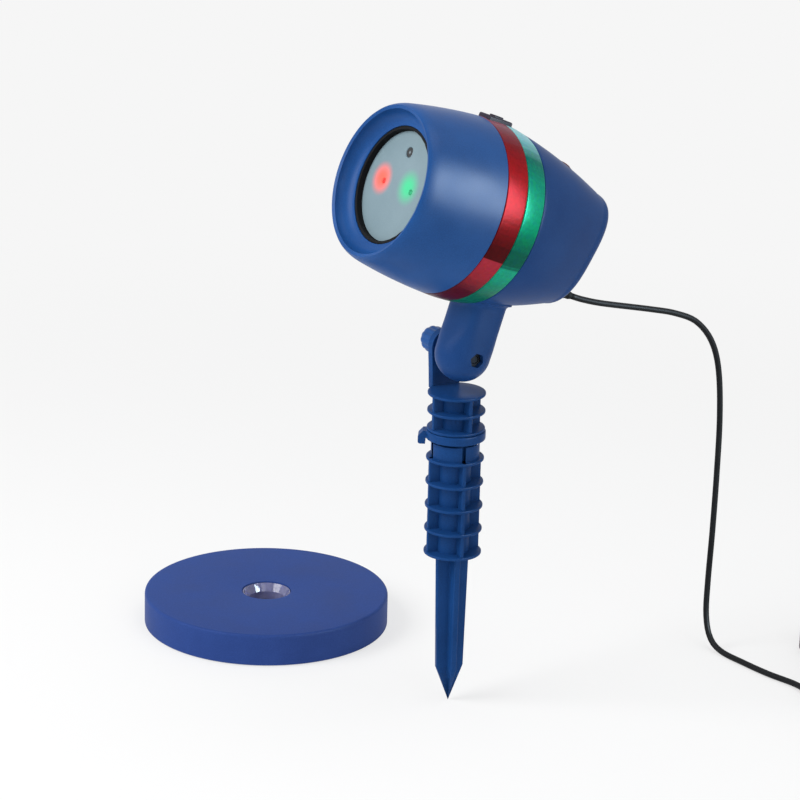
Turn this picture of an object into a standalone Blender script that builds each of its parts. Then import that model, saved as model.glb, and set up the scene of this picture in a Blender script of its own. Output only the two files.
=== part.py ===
"""Laser star projector for the garden: a round head on a tilting arm, a ribbed stem
that plugs into a ribbed ground stake, and the heavy round base for indoor use.

Metres, +Z up. The origin is the tip of the stake, the stake stands along Z, the
head looks towards -Y and tilts about X. Each object is one piece of the product.
"""
import bmesh
import bpy
from math import atan2, copysign, cos, pi, radians, sin
from mathutils import Matrix, Vector

MM = 0.001
GAP = 0.3 * MM            # between two pieces that touch

# Head shells, along the head's own axis from the lip backwards
FRONT_LENGTH = 54.5 * MM
RED_BAND_LENGTH = 15.0 * MM
GREEN_BAND_LENGTH = 15.0 * MM
BAND_CROWN = 0.15 * MM
EDGE_SOFTENING = 0.5 * MM # on the edges of the bands and shells
TAIL_LENGTH = 67.3 * MM
CREST_RADIUS = 57.3 * MM  # where the two bands meet
LIP_FALL = 8.1 * MM       # from the crest's radius to the lip's
FRONT_CURVE = 1.8         # how late the front shell falls away from the crest
TAIL_CURVE = 1.45
TAIL_RADIUS = 39.0 * MM   # half the height of the tail's end
TAIL_WIDTH_SHARE = 0.806  # the end's width over its height
TAIL_NARROWING = 1.6      # how late the width falls to that share
TAIL_SQUARENESS = 2.92    # of the end's outline, where 2 is round
TAIL_ROUNDING = 7.3 * MM
TAIL_BULGE = 0.3 * MM     # of the end face
TAIL_TILT = radians(10.3) # the tail's end face leans, top further back
TAIL_DROP = 2.8 * MM
SHELL_WALL = 2.4 * MM
BAND_THICKNESS = 3.3 * MM # at the crest, with the gap to the spigot
SPIGOT_LAP = 6.0 * MM
HEAD_SEGMENTS = 36

# Mouth of the head
LIP_WALL = 3.6 * MM
LIP_ROUNDING = 1.4 * MM
LIP_SOFTENING = 0.6 * MM
BEZEL_DEPTH = 9.5 * MM    # of the concave bezel
BEZEL_WIDTH = 8.4 * MM
BEZEL_SEAT = 2.4 * MM     # width of the bezel's edge, seen from behind
PLATE_RECESS = 4.0 * MM   # the plate lies behind the bezel's edge
PLATE_INSET = 2.3 * MM    # from the bezel's edge in to the plate's, with the seal between
PLATE_THICKNESS = 2.0 * MM
PLATE_RIM = 0.4 * MM
SEAL_THICKNESS = 2.2 * MM
SEAL_GRIP = 3.0 * MM      # how far the seal reaches in behind the plate
BEAM_SPACING = 31.2 * MM  # between the red and the green beam
BEAM_HOLE_RADIUS = 1.7 * MM
SENSOR_INSET = 12.9 * MM  # from the plate's edge
SENSOR_HOLE_RADIUS = 3.2 * MM
WINDOW_FLANGE = 1.6 * MM
WINDOW_THICKNESS = 1.4 * MM

# Tilt hinge and how the head sits on it
PIVOT_Y = 1.5 * MM
PIVOT_HEIGHT = 25.0 * MM  # above the stem's top disc
HEAD_PITCH = radians(22)
AXIS_ABOVE_PIVOT = 86.0 * MM
TAIL_AHEAD_OF_PIVOT = 16.5 * MM   # the tail's front edge
ARM_LEFT = 14.9 * MM
ARM_RIGHT = 20.8 * MM
ARM_KNUCKLE = 13.0 * MM   # radius of the arm's round end, about the hinge line
ARM_TOP_FRONT = 14.6 * MM # the arm's reach ahead of and behind the hinge line, at its top
ARM_TOP_BACK = 8.8 * MM
ARM_LEFT_ROUNDING = 7.0 * MM
ARM_RIGHT_ROUNDING = 2.4 * MM
ARM_ROOT = 8.0 * MM       # how deep the arm's top goes into the tail
EAR_THICKNESS = 5.0 * MM
EAR_RADIUS = 11.0 * MM
EAR_FOOT_WIDTH = 20.2 * MM
BOLT_RADIUS = 2.5 * MM
NUT_ACROSS_FLATS = 8.0 * MM
NUT_THICKNESS = 4.0 * MM
NUT_RECESS = 4.0 * MM
KNOB_RADIUS = 8.6 * MM
KNOB_LENGTH = 16.0 * MM
KNOB_DOME = 0.75          # the dome's rounding over the knob's radius
KNOB_SOFTENING = 0.8 * MM
WASHER_THICKNESS = 1.0 * MM

# Stake, from the tip upwards
SPIKE_LENGTH = 98.5 * MM
POINT_LENGTH = 24.0 * MM
SPIKE_TOP_WIDTH = 21.4 * MM
SPIKE_LOW_WIDTH = 18.0 * MM
SPIKE_WEB = 3.6 * MM
SHOULDER_HEIGHT = 5.0 * MM
STAKE_RIB_PITCH = 15.7 * MM
STAKE_RIB_COUNT = 5       # the lowest is the shoulder's edge
RIB_RADIUS = 18.3 * MM
RIB_THICKNESS = 1.8 * MM
WEB_RADIUS = 17.4 * MM
WEB_THICKNESS = 2.4 * MM
CORE_RADIUS = 10.5 * MM
STAKE_SEGMENTS = 24
STAKE_TURN = radians(-11) # the stake's webs against the hinge line
NECK_RADIUS = 15.0 * MM
NECK_HEIGHT = 4.6 * MM
NECK_SOFTENING = 0.4 * MM
RIB_TO_NECK = 11.6 * MM

# Stem, which plugs into the stake or the indoor base
STEM_DISC_PITCH = 11.5 * MM
STEM_DISC_COUNT = 3
PLUG_RADIUS = 12.0 * MM
PLUG_CLEARANCE = 0.3 * MM
PLUG_CHAMFER = 0.8 * MM
COLLAR_RADIUS = 18.9 * MM
COLLAR_HEIGHT = 5.6 * MM
COLLAR_SOFTENING = 0.6 * MM
TAB_REACH = 23.6 * MM
TAB_WIDTH = 9.0 * MM
TAB_DROP = 3.5 * MM       # the tab hangs below the collar
TAB_SLOPE = 1.6 * MM
TAB_ANGLE = radians(236)

# Controls on the head
SWITCH_START = 1.5 * MM   # behind the front shell
SWITCH_LENGTH = 18.5 * MM
SWITCH_WIDTH = 12.5 * MM
SWITCH_PROUD = 2.1 * MM   # above the bands' crest
SWITCH_DEPTH = 10.3 * MM
SWITCH_WELL = 3.0 * MM
SWITCH_BEVEL = 0.9 * MM
SLIDER_LENGTH = 7.0 * MM
SLIDER_WIDTH = 6.0 * MM
SLIDER_PROUD = 1.0 * MM
SLIDER_TRAVEL = 6.0 * MM
SLIDER_BEVEL = 0.5 * MM
BUTTON_BACK = 37.5 * MM   # behind the green band
BUTTON_RADIUS = 4.2 * MM
BUTTON_RING = 1.6 * MM
BUTTON_RING_PROUD = 0.8 * MM
BUTTON_RING_DEPTH = 3.0 * MM
BUTTON_PROUD = 1.8 * MM
BUTTON_DOME = 0.6 * MM
BUTTON_LENGTH = 7.0 * MM

# Optics and drive inside the head
BEAM_TUBE_RADIUS = 7.2 * MM
BEAM_TUBE_LENGTH = 7.0 * MM
LASER_RADIUS = 6.0 * MM
LASER_MOUTH = 1.5 * MM    # radius and depth of the module's mouth
LASER_LENGTH = 34.0 * MM
LASER_BACK_FROM_PLATE = 10.5 * MM
CHASSIS_ROOM = 4.5 * MM   # from the spigot's radius in to the chassis's edge
CHASSIS_THICKNESS = 2.5 * MM
CHASSIS_BACK_FROM_PLATE = 15.0 * MM
WHEEL_TEETH = 24
PINION_TEETH = 6
TOOTH_TIP = 0.75          # of the module, above the pitch circle
TOOTH_ROOT = 0.95         # of the module, below it
TIP_WIDTH = 0.2           # of the pitch between teeth
ROOT_WIDTH = 0.6
WHEEL_THICKNESS = 5.0 * MM
WHEEL_LIP = 1.0 * MM
GRATING_THICKNESS = 0.8 * MM
MOTOR_RADIUS = 7.4 * MM
MOTOR_LENGTH = 14.0 * MM
MOTOR_CHAMFER = 0.6 * MM
SHAFT_RADIUS = 1.0 * MM
SINK_RADIUS = 11.0 * MM
SINK_ROOT = 1.6 * MM      # the sink's wall between its fins
SINK_LENGTH = 12.0 * MM
SINK_FINS = 3
SINK_BEHIND_MOTOR = 1.5 * MM
BOARD_THICKNESS = 1.6 * MM
BOARD_WIDTH = 60.0 * MM
BOARD_HEIGHT = 44.0 * MM
BOARD_POST_RADIUS = 3.0 * MM
BOARD_POST_LENGTH = 31.0 * MM
SCREW_RADIUS = 1.5 * MM
SCREW_LENGTH = 9.0 * MM
SCREW_HEAD_RADIUS = 2.8 * MM
SCREW_HEAD_HEIGHT = 1.8 * MM
BOSS_RADIUS = 3.6 * MM
BOSS_INSET = 5.0 * MM     # the bosses' middles inside the chassis's edge
BOSS_ANGLES = [radians(turn) for turn in (60, 180, 300)]   # from the top

# Indoor base
BASE_PLACE = Vector((-174.2 * MM, -36.8 * MM, 0))
BASE_RADIUS = 82.0 * MM
BASE_HEIGHT = 22.0 * MM
BASE_WALL = 3.0 * MM
BASE_EDGE = 2.2 * MM
BASE_MOUTH_RADIUS = 16.4 * MM
BASE_MOUTH_BEVEL = 0.6 * MM
LINER_FUNNEL = 5.0 * MM
LINER_SINK = 0.8 * MM     # the liner's edge below the base's top
LINER_RIM = 0.7 * MM
WEIGHT_THICKNESS = 8.0 * MM
WEIGHT_ROOM = 2.0 * MM    # between the weight's rim and the shell's wall
COVER_THICKNESS = 2.5 * MM
FOOT_RADIUS = 6.0 * MM
FOOT_HEIGHT = 1.6 * MM
FOOT_SINK = 0.8 * MM
FOOT_RING = 65.0 * MM
FOOT_COUNT = 4
BASE_SEGMENTS = 40

# Cord, its coil and the wall adapter
CORD_RADIUS = 2.0 * MM
BOOT_RADIUS = 4.6 * MM
BOOT_LENGTH = 20.0 * MM
BOOT_NECK = 1.0 * MM      # the boot is this much slimmer in the tail's wall
BOOT_NECK_LENGTH = 5.0 * MM
BOOT_FLANGE = 2.5 * MM
BOOT_BELOW_AXIS = 29.0 * MM
COIL_PLACE = Vector((124 * MM, 240 * MM, 0))
COIL_LAYERS = 4
LOOPS_PER_LAYER = 3
COIL_INNER_RADIUS = 17.2 * MM
COIL_STEP = 4.45 * MM     # between turns side by side
COIL_CLIMB = 4.5 * MM     # between layers
ADAPTER_LEAD = 24.0 * MM  # straight cord between the coil and the adapter
LOOP_SEGMENTS = 24
TIE_THICKNESS = 1.2 * MM
TIE_WIDTH = 6.0 * MM
TIE_SQUARENESS = 12       # of its loop, where 2 is round
ADAPTER_SIZE = Vector((46 * MM, 38 * MM, 27 * MM))
ADAPTER_BEVEL = 2.5 * MM
ADAPTER_BOOT_LENGTH = 14.0 * MM
BLADE_SIZE = Vector((6.3 * MM, 16 * MM, 1.5 * MM))
BLADE_SPACING = 12.7 * MM
CORD_EXIT = 9.0 * MM      # the cord's straight start behind its boot
CORD_SPACING = 9.0 * MM   # between the points along it
# Middle of the cord's route, in millimetres: out behind the head, down to the ground, to the coil
CORD_ROUTE = [
    (0, 108, 251.5), (0, 146, 242.5), (0, 166, 237), (0, 183, 229), (0, 196, 214), (0, 203, 193),
    (0, 206, 160), (0, 206, 120), (0, 205, 80), (0, 203.5, 45), (2, 202, 22), (9, 201, 8), (22, 201, 2.6),
    (45, 203, 2.2), (68, 206, 2.2),
]
COIL_APPROACH = [(-30, 1, -1.2), (-12, 0, -0.2)]   # the route's end, from the coil's start


def paint(name, colour, roughness, metallic=0.0):
    """A plain finish from an sRGB hex colour."""
    levels = [int(colour[i:i + 2], 16) / 255 for i in (0, 2, 4)]
    linear = [v / 12.92 if v < 0.04045 else ((v + 0.055) / 1.055) ** 2.4 for v in levels]
    finish = bpy.data.materials.new(name)
    finish.use_nodes = True
    shader = finish.node_tree.nodes["Principled BSDF"]
    shader.inputs["Base Color"].default_value = (*linear, 1)
    shader.inputs["Roughness"].default_value = roughness
    shader.inputs["Metallic"].default_value = metallic
    finish.diffuse_color = (*linear, 1)
    return finish


def add(name, mesh, finish, parent=None, at=(0, 0, 0), turn=(0, 0, 0)):
    """Turn a bmesh into a named object, smooth but for its edges over 35 degrees."""
    bmesh.ops.recalc_face_normals(mesh, faces=mesh.faces)
    data = bpy.data.meshes.new(name)
    mesh.to_mesh(data)
    mesh.free()
    data.shade_smooth()
    data.set_sharp_from_angle(angle=radians(35))
    thing = bpy.data.objects.new(name, data)
    bpy.context.scene.collection.objects.link(thing)
    if finish:
        data.materials.append(finish)
    thing.parent = parent
    thing.location = at
    thing.rotation_euler = turn
    return thing


def skinned(rings, joined=False):
    """A closed skin over rings of points. A ring of one point is a pole."""
    mesh = bmesh.new()
    rows = [[mesh.verts.new(point) for point in ring] for ring in rings]
    pairs = list(zip(rows, rows[1:]))
    if joined:
        pairs.append((rows[-1], rows[0]))
    for low, high in pairs:
        count = max(len(low), len(high))
        for i in range(count):
            j = (i + 1) % count
            corners = [low[i % len(low)], low[j % len(low)], high[j % len(high)], high[i % len(high)]]
            face = list(dict.fromkeys(corners))
            if len(face) > 2:
                mesh.faces.new(face)
    if not joined:
        for row in (rows[0], rows[-1]):
            if len(row) > 2:
                mesh.faces.new(row)
    return mesh


def circle(radius, height, count, start=0.0):
    """Points round Z, or the pole if the radius is nothing."""
    if radius <= 0:
        return [Vector((0, 0, height))]
    return [
        Vector((radius * cos(start + 2 * pi * i / count), radius * sin(start + 2 * pi * i / count), height))
        for i in range(count)
    ]


def turned(profile, count):
    """A body turned about Z from (radius, height) points. Its flat ends are single faces."""
    joined = profile[0][0] > 0 and profile[-1][0] > 0
    if profile[0][0] <= 0 and profile[0][1] == profile[1][1]:
        profile = profile[1:]
    if profile[-1][0] <= 0 and profile[-1][1] == profile[-2][1]:
        profile = profile[:-1]
    return skinned([circle(radius, height, count) for radius, height in profile], joined)


def rod(radius, low, high, count, chamfer=0.0):
    """A round bar along Z, its ends chamfered."""
    ends = [(radius, low), (radius, high)]
    if chamfer:
        ends = [(radius - chamfer, low), (radius, low + chamfer)]
        ends += [(radius, high - chamfer), (radius - chamfer, high)]
    return turned([(0, low)] + ends + [(0, high)], count)


def tube(radius, bore, low, high, count):
    """A plain round tube along Z."""
    return turned([(bore, low), (radius, low), (radius, high), (bore, high)], count)


def block(size, centre=(0, 0, 0), bevel=0.0):
    """A box with its edges bevelled."""
    mesh = bmesh.new()
    bmesh.ops.create_cube(mesh, size=1)
    bmesh.ops.scale(mesh, vec=size, verts=mesh.verts)
    if bevel:
        edges = mesh.edges[:]
        bmesh.ops.bevel(mesh, geom=edges, offset=bevel, segments=1, affect="EDGES", clamp_overlap=True)
    bmesh.ops.translate(mesh, vec=centre, verts=mesh.verts)
    return mesh


def superellipse(count, power):
    """A rounded rectangle of half width one. Power 2 is a circle."""
    return [rounded(2 * pi * i / count, power) for i in range(count)]


def rounded(turn, power):
    """A point at a turn round a rounded rectangle of half width one."""
    x = cos(turn)
    y = sin(turn)
    return copysign(abs(x) ** (2 / power), x), copysign(abs(y) ** (2 / power), y)


def slab(outline, low, high):
    """An outline in the XY plane, extruded along Z."""
    return skinned([[Vector((x, y, z)) for x, y in outline] for z in (low, high)])


def helper(name, mesh, parent=None, at=(0, 0, 0), turn=(0, 0, 0)):
    """A cutter or a part of a moulding that is joined on. It isn't a piece itself."""
    thing = add(name, mesh, None, parent, at, turn)
    thing.hide_render = True
    thing.display_type = "WIRE"
    return thing


def combine(thing, other, operation):
    step = thing.modifiers.new(other.name, "BOOLEAN")
    step.operation = operation
    step.solver = "EXACT"
    step.object = other


def cut(thing, other):
    combine(thing, other, "DIFFERENCE")


def fuse(thing, other):
    combine(thing, other, "UNION")


def finishes():
    """The product's finishes, by the name of what they cover."""
    return {
        "shell": paint("shell_blue_plastic", "1f4f95", 0.42),
        "tail": paint("tail_blue_plastic", "20396f", 0.45),
        "stake": paint("stake_blue_plastic", "1c3f74", 0.5),
        "base": paint("base_blue_plastic", "364d8e", 0.5),
        "red": paint("red_metallised_band", "c01822", 0.25, 0.3),
        "green": paint("green_metallised_band", "129a70", 0.25, 0.3),
        "plate": paint("grey_face_plate", "84949c", 0.55),
        "black": paint("black_plastic", "17171a", 0.5),
        "rubber": paint("black_rubber", "101113", 0.75),
        "glass": paint("clear_window", "b9c4c8", 0.08),
        "liner": paint("clear_liner", "a9a9c9", 0.12),
        "brass": paint("brass", "b08d4a", 0.35, 1.0),
        "steel": paint("zinc_plated_steel", "9a9da1", 0.35, 1.0),
        "dark": paint("blackened_steel", "1b1c1f", 0.5, 1.0),
        "alloy": paint("aluminium", "a8abb0", 0.4, 1.0),
        "board": paint("green_circuit_board", "1c5b36", 0.5),
        "white": paint("white_acetal", "d9d9d2", 0.45),
    }


BEAM_X = BEAM_SPACING / 2
SPIGOT_RADIUS = CREST_RADIUS - BAND_THICKNESS   # of the rear housing, under the bands
LIP_RADIUS = CREST_RADIUS - LIP_FALL
BEZEL_RADIUS = LIP_RADIUS - LIP_WALL - BEZEL_WIDTH
PLATE_RADIUS = BEZEL_RADIUS - PLATE_INSET
SENSOR_HEIGHT = PLATE_RADIUS - SENSOR_INSET     # above the head's axis
SWITCH_TOP = CREST_RADIUS + SWITCH_PROUD
CHASSIS_RADIUS = SPIGOT_RADIUS - CHASSIS_ROOM
BOSS_RING = CHASSIS_RADIUS - BOSS_INSET
TAIL_START = FRONT_LENGTH + RED_BAND_LENGTH + GREEN_BAND_LENGTH
LIP_AHEAD_OF_PIVOT = TAIL_START + TAIL_AHEAD_OF_PIVOT
CREST_DEPTH = FRONT_LENGTH + RED_BAND_LENGTH
TAIL_END = TAIL_START + TAIL_LENGTH
TAIL_EDGE = TAIL_END - TAIL_ROUNDING
PLATE_FRONT = BEZEL_DEPTH + PLATE_RECESS
PLATE_BACK = PLATE_FRONT + PLATE_THICKNESS
CHASSIS_FRONT = PLATE_BACK + CHASSIS_BACK_FROM_PLATE
CHASSIS_BACK = CHASSIS_FRONT + CHASSIS_THICKNESS
SHOULDER_TOP = SPIKE_LENGTH + SHOULDER_HEIGHT
TOP_RIB = SHOULDER_TOP + (STAKE_RIB_COUNT - 1) * STAKE_RIB_PITCH
STAKE_TOP = TOP_RIB + RIB_TO_NECK
NECK_TOP = STAKE_TOP + NECK_HEIGHT
STEM_BOTTOM = STAKE_TOP + GAP + COLLAR_HEIGHT + GAP
STEM_TOP = STEM_BOTTOM + (STEM_DISC_COUNT - 1) * STEM_DISC_PITCH + RIB_THICKNESS
PIVOT = Vector((0, PIVOT_Y, STEM_TOP + PIVOT_HEIGHT))
REARWARD = (-pi / 2, 0, 0)   # turns a body from +Z to the head's rear
ALONG_X = (0, pi / 2, 0)     # turns a body from +Z to +X
EAR_FACE = -ARM_LEFT - GAP   # the ear's face towards the arm
EAR_OUTSIDE = EAR_FACE - EAR_THICKNESS


def skin_radius(depth):
    """The head's outer radius at a depth behind the lip, without the lip's rounding."""
    if depth < CREST_DEPTH:
        share = (CREST_DEPTH - depth) / CREST_DEPTH
        return CREST_RADIUS - (CREST_RADIUS - LIP_RADIUS) * share ** FRONT_CURVE
    share = (depth - CREST_DEPTH) / (TAIL_EDGE - CREST_DEPTH)
    return CREST_RADIUS - (CREST_RADIUS - TAIL_RADIUS) * share ** TAIL_CURVE


def in_head(depth, right=0.0, up=0.0):
    """A place in the head's own frame, from the head's axis."""
    return Vector((right, depth - LIP_AHEAD_OF_PIVOT, AXIS_ABOVE_PIVOT + up))


def tail_point(depth, radius, turn):
    """A point of the tail in the head's frame, at a turn from the head's right.

    Towards the end the rings lean, drop, narrow and grow squarer.
    """
    share = min(1.0, max(0.0, (depth - TAIL_START) / (TAIL_END - TAIL_START)))
    lean = TAIL_TILT * share
    right, up = rounded(turn, 2 + (TAIL_SQUARENESS - 2) * share)
    right *= radius * (1 - (1 - TAIL_WIDTH_SHARE) * share ** TAIL_NARROWING)
    up *= radius
    return in_head(depth + up * sin(lean), right, up * cos(lean) - TAIL_DROP * share)


def tail_ring(depth, radius):
    if radius <= 0:
        return [tail_point(depth, 0, 0)]
    return [tail_point(depth, radius, 2 * pi * i / HEAD_SEGMENTS) for i in range(HEAD_SEGMENTS)]


def head_shells(paints, head):
    """Front shell with the lip and bezel, the two bands, and the rear housing."""
    front_end = FRONT_LENGTH - GAP / 2
    first = LIP_ROUNDING + LIP_WALL
    steps = [front_end - (front_end - first) * i / 4 for i in range(5)]
    outside = [(skin_radius(depth), depth) for depth in steps]
    lip = [(skin_radius(0) - LIP_SOFTENING, LIP_ROUNDING), (skin_radius(0) - LIP_WALL / 2, 0)]
    mouth = skin_radius(0) - LIP_WALL
    bowl = [
        (mouth - (mouth - BEZEL_RADIUS) * (1 - cos(turn)), BEZEL_DEPTH * sin(turn))
        for turn in [radians(a) for a in (3, 28, 55, 90)]
    ]
    back = [(BEZEL_RADIUS, PLATE_BACK), (BEZEL_RADIUS + BEZEL_SEAT, PLATE_BACK)]
    back += [(mouth + LIP_ROUNDING, BEZEL_DEPTH * 0.62), (skin_radius(PLATE_BACK) - SHELL_WALL, PLATE_BACK)]
    stop = front_end - SPIGOT_LAP - GAP
    inside = [(skin_radius(stop) - SHELL_WALL, stop)]
    inside += [(SPIGOT_RADIUS + GAP, stop), (SPIGOT_RADIUS + GAP, front_end)]
    profile = outside + lip + bowl + back + inside
    front = add("front_shell", turned(profile, HEAD_SEGMENTS), paints["shell"], head, in_head(0), REARWARD)
    boss_front = BEZEL_DEPTH - GAP
    for number, angle in enumerate(BOSS_ANGLES):
        place = in_head(0, BOSS_RING * sin(angle), BOSS_RING * cos(angle))
        boss = rod(BOSS_RADIUS, boss_front, CHASSIS_FRONT - GAP, 12)
        fuse(front, helper(f"boss_{number}", boss, head, place, REARWARD))
        hole = rod(SCREW_RADIUS + GAP, PLATE_BACK + BOSS_RADIUS / 2, CHASSIS_BACK, 8)
        cut(front, helper(f"boss_hole_{number}", hole, head, place, REARWARD))

    bands = []
    starts = (FRONT_LENGTH, FRONT_LENGTH + RED_BAND_LENGTH)
    lengths = (RED_BAND_LENGTH, GREEN_BAND_LENGTH)
    soft = EDGE_SOFTENING
    for name, start, length in zip(("red", "green"), starts, lengths):
        low = start + GAP / 2
        high = start + length - GAP / 2
        ring = [
            (SPIGOT_RADIUS + GAP, low),
            (skin_radius(low) - soft, low),
            (skin_radius(low), low + soft),
            (skin_radius((low + high) / 2) + BAND_CROWN, (low + high) / 2),
            (skin_radius(high), high - soft),
            (skin_radius(high) - soft, high),
            (SPIGOT_RADIUS + GAP, high),
        ]
        bands.append(
            add(f"{name}_band", turned(ring, HEAD_SEGMENTS), paints[name], head, in_head(0), REARWARD)
        )

    rear = rear_housing(paints, head)
    pocket = block((SWITCH_WIDTH + 2 * GAP, SWITCH_LENGTH + 2 * GAP, 2 * SWITCH_DEPTH))
    pocket = helper("switch_pocket", pocket, head, switch_place() + Vector((0, 0, SWITCH_TOP)))
    for piece in (*bands, rear):
        cut(piece, pocket)


def rear_housing(paints, head):
    """One moulding: the spigot under the bands, the tapered tail and the clamp arm."""
    first = FRONT_LENGTH - GAP / 2 - SPIGOT_LAP
    start = TAIL_START + GAP / 2
    bore = SPIGOT_RADIUS - SHELL_WALL
    outside = [(first, SPIGOT_RADIUS), (start, SPIGOT_RADIUS), (start, skin_radius(start) - EDGE_SOFTENING)]
    steps = [start + (TAIL_EDGE - start) * i / 5 for i in range(5)]
    outside += [(depth + EDGE_SOFTENING, skin_radius(depth)) for depth in steps]
    for turn in [radians(a) for a in (0, 30, 60)]:
        radius = TAIL_RADIUS - TAIL_ROUNDING * (1 - cos(turn))
        outside.append((TAIL_EDGE + TAIL_ROUNDING * sin(turn), radius))
    outside += [(TAIL_END, TAIL_RADIUS / 2), (TAIL_END + TAIL_BULGE, 0)]
    inner_end = TAIL_END - SHELL_WALL
    inner_edge = TAIL_EDGE - SHELL_WALL / 2
    inside = [(inner_end, 0), (inner_end, TAIL_RADIUS - TAIL_ROUNDING - SHELL_WALL / 2)]
    steps = [inner_edge - (inner_edge - start) * i / 3 for i in range(3)]
    inside += [(depth, skin_radius(depth) - SHELL_WALL) for depth in steps]
    inside += [(start + SHELL_WALL, bore), (first, bore)]
    rings = [tail_ring(depth, radius) for depth, radius in outside + inside]
    rear = add("rear_shell", skinned(rings, joined=True), paints["tail"], head)

    arm = helper("arm_form", arm_form(), head)
    cut(arm, helper("arm_trim", skinned([tail_ring(d, r) for d, r in inside[:-1]]), head))
    fuse(rear, arm)
    bolt_hole = rod(BOLT_RADIUS + GAP, -2 * ARM_LEFT, 2 * ARM_RIGHT, 12)
    cut(rear, helper("bolt_hole", bolt_hole, head, (0, 0, 0), ALONG_X))
    pocket_end = ARM_RIGHT - NUT_RECESS - NUT_THICKNESS - GAP
    nut_pocket = hexagon(NUT_ACROSS_FLATS + 2 * GAP, pocket_end, 2 * ARM_RIGHT)
    cut(rear, helper("nut_pocket", nut_pocket, head, (0, 0, 0), ALONG_X))
    through = TAIL_ROUNDING + 2 * SHELL_WALL
    for name, seat, radius in (
        ("button_hole", button_seat(), BUTTON_RADIUS + BUTTON_RING),
        ("boot_hole", boot_seat(), BOOT_RADIUS - BOOT_NECK),
    ):
        cut(rear, helper(name, rod(radius + GAP, -through, through, 16), head, *seat))
    return rear


def hexagon(across, low, high):
    """A hexagonal bar along Z."""
    radius = across / 2 / cos(pi / 6)
    return skinned([circle(radius, height, 6, pi / 6) for height in (low, high)])


def arm_side(inset):
    """The clamp arm's side profile, all of it moved inwards: a knuckle about the hinge and two flanks."""
    top = AXIS_ABOVE_PIVOT - SPIGOT_RADIUS + ARM_ROOT
    knuckle = ARM_KNUCKLE - inset
    arc = [(-knuckle * cos(turn), -knuckle * sin(turn)) for turn in [pi * i / 10 for i in range(11)]]
    return [(inset - ARM_TOP_FRONT, top), *arc, (ARM_TOP_BACK - inset, top)]


def arm_form():
    """The clamp arm, its edges rounded towards both sides, more on the knob's side."""
    stations = []
    for side, reach, rounding, turns in (
        (-1, ARM_LEFT, ARM_LEFT_ROUNDING, (0, 30, 60, 90)),
        (1, ARM_RIGHT, ARM_RIGHT_ROUNDING, (90, 45, 0)),
    ):
        for turn in [radians(a) for a in turns]:
            stations.append((side * (reach - rounding * (1 - cos(turn))), rounding * (1 - sin(turn))))
    return skinned([[Vector((x, back, up)) for back, up in arm_side(inset)] for x, inset in stations])


def switch_place():
    """The middle of the mode switch on the head's axis, over the two bands."""
    return in_head(FRONT_LENGTH + SWITCH_START + SWITCH_LENGTH / 2)


def surface_turn(rear, up):
    """The turn about X that points a body's +Z along a direction in the head's YZ plane."""
    return (-atan2(rear, up), 0, 0)


def button_seat():
    """Place and turn of the rear button, square to the tail's top."""
    depth = TAIL_START + BUTTON_BACK
    low, place, high = [tail_point(d, skin_radius(d), pi / 2) for d in (depth - MM, depth, depth + MM)]
    along = (high - low).normalized()
    return place, surface_turn(-along.z, along.y)


def boot_seat():
    """Place and turn of the cord's boot, on the tail's end face."""
    return tail_point(TAIL_END, BOOT_BELOW_AXIS, -pi / 2), surface_turn(1, 0)


WHEEL_FRONT = CHASSIS_FRONT - BEAM_TUBE_LENGTH - GAP - WHEEL_LIP
MOTOR_FRONT = CHASSIS_BACK + GAP
SINK_FRONT = MOTOR_FRONT + MOTOR_LENGTH + SINK_BEHIND_MOTOR
BOARD_FRONT = CHASSIS_BACK + BOARD_POST_LENGTH + GAP


def face(paints, head):
    """The grey plate in the mouth, its seal, and the windows in its three holes."""
    plate = [
        (0, PLATE_FRONT), (PLATE_RADIUS - PLATE_RIM, PLATE_FRONT), (PLATE_RADIUS, PLATE_FRONT + PLATE_RIM),
        (PLATE_RADIUS, PLATE_BACK), (0, PLATE_BACK),
    ]
    front = add("face_plate", turned(plate, HEAD_SEGMENTS), paints["plate"], head, in_head(0), REARWARD)
    seal_foot = PLATE_BACK + GAP
    seal_outside = BOSS_RING - BOSS_RADIUS - GAP
    seal = [
        (PLATE_RADIUS + GAP, BEZEL_DEPTH + GAP), (BEZEL_RADIUS - GAP, BEZEL_DEPTH + GAP),
        (BEZEL_RADIUS - GAP, seal_foot), (seal_outside, seal_foot),
        (seal_outside, seal_foot + SEAL_THICKNESS), (PLATE_RADIUS - SEAL_GRIP, seal_foot + SEAL_THICKNESS),
        (PLATE_RADIUS - SEAL_GRIP, seal_foot), (PLATE_RADIUS + GAP, seal_foot),
    ]
    add("face_seal", turned(seal, HEAD_SEGMENTS), paints["rubber"], head, in_head(0), REARWARD)
    openings = (
        ("red_window", -BEAM_X, 0, BEAM_HOLE_RADIUS),
        ("green_window", BEAM_X, 0, BEAM_HOLE_RADIUS),
        ("sensor_window", 0, SENSOR_HEIGHT, SENSOR_HOLE_RADIUS),
    )
    for name, right, up, radius in openings:
        place = in_head(0, right, up)
        hole = helper(f"{name}_hole", rod(radius, 0, 2 * PLATE_BACK, 12), head, place, REARWARD)
        cut(front, hole)
        flange = PLATE_BACK + GAP
        spigot = PLATE_FRONT + PLATE_RIM
        pane = [
            (0, spigot), (radius - GAP, spigot), (radius - GAP, flange), (radius + WINDOW_FLANGE, flange),
            (radius + WINDOW_FLANGE, flange + WINDOW_THICKNESS), (0, flange + WINDOW_THICKNESS),
        ]
        add(name, turned(pane, 12), paints["glass"], head, place, REARWARD)
    cell = rod(SENSOR_HOLE_RADIUS - GAP, PLATE_BACK + WINDOW_THICKNESS + 2 * GAP, CHASSIS_FRONT - GAP, 12)
    add("light_sensor", cell, paints["black"], head, in_head(0, 0, SENSOR_HEIGHT), REARWARD)


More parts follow.
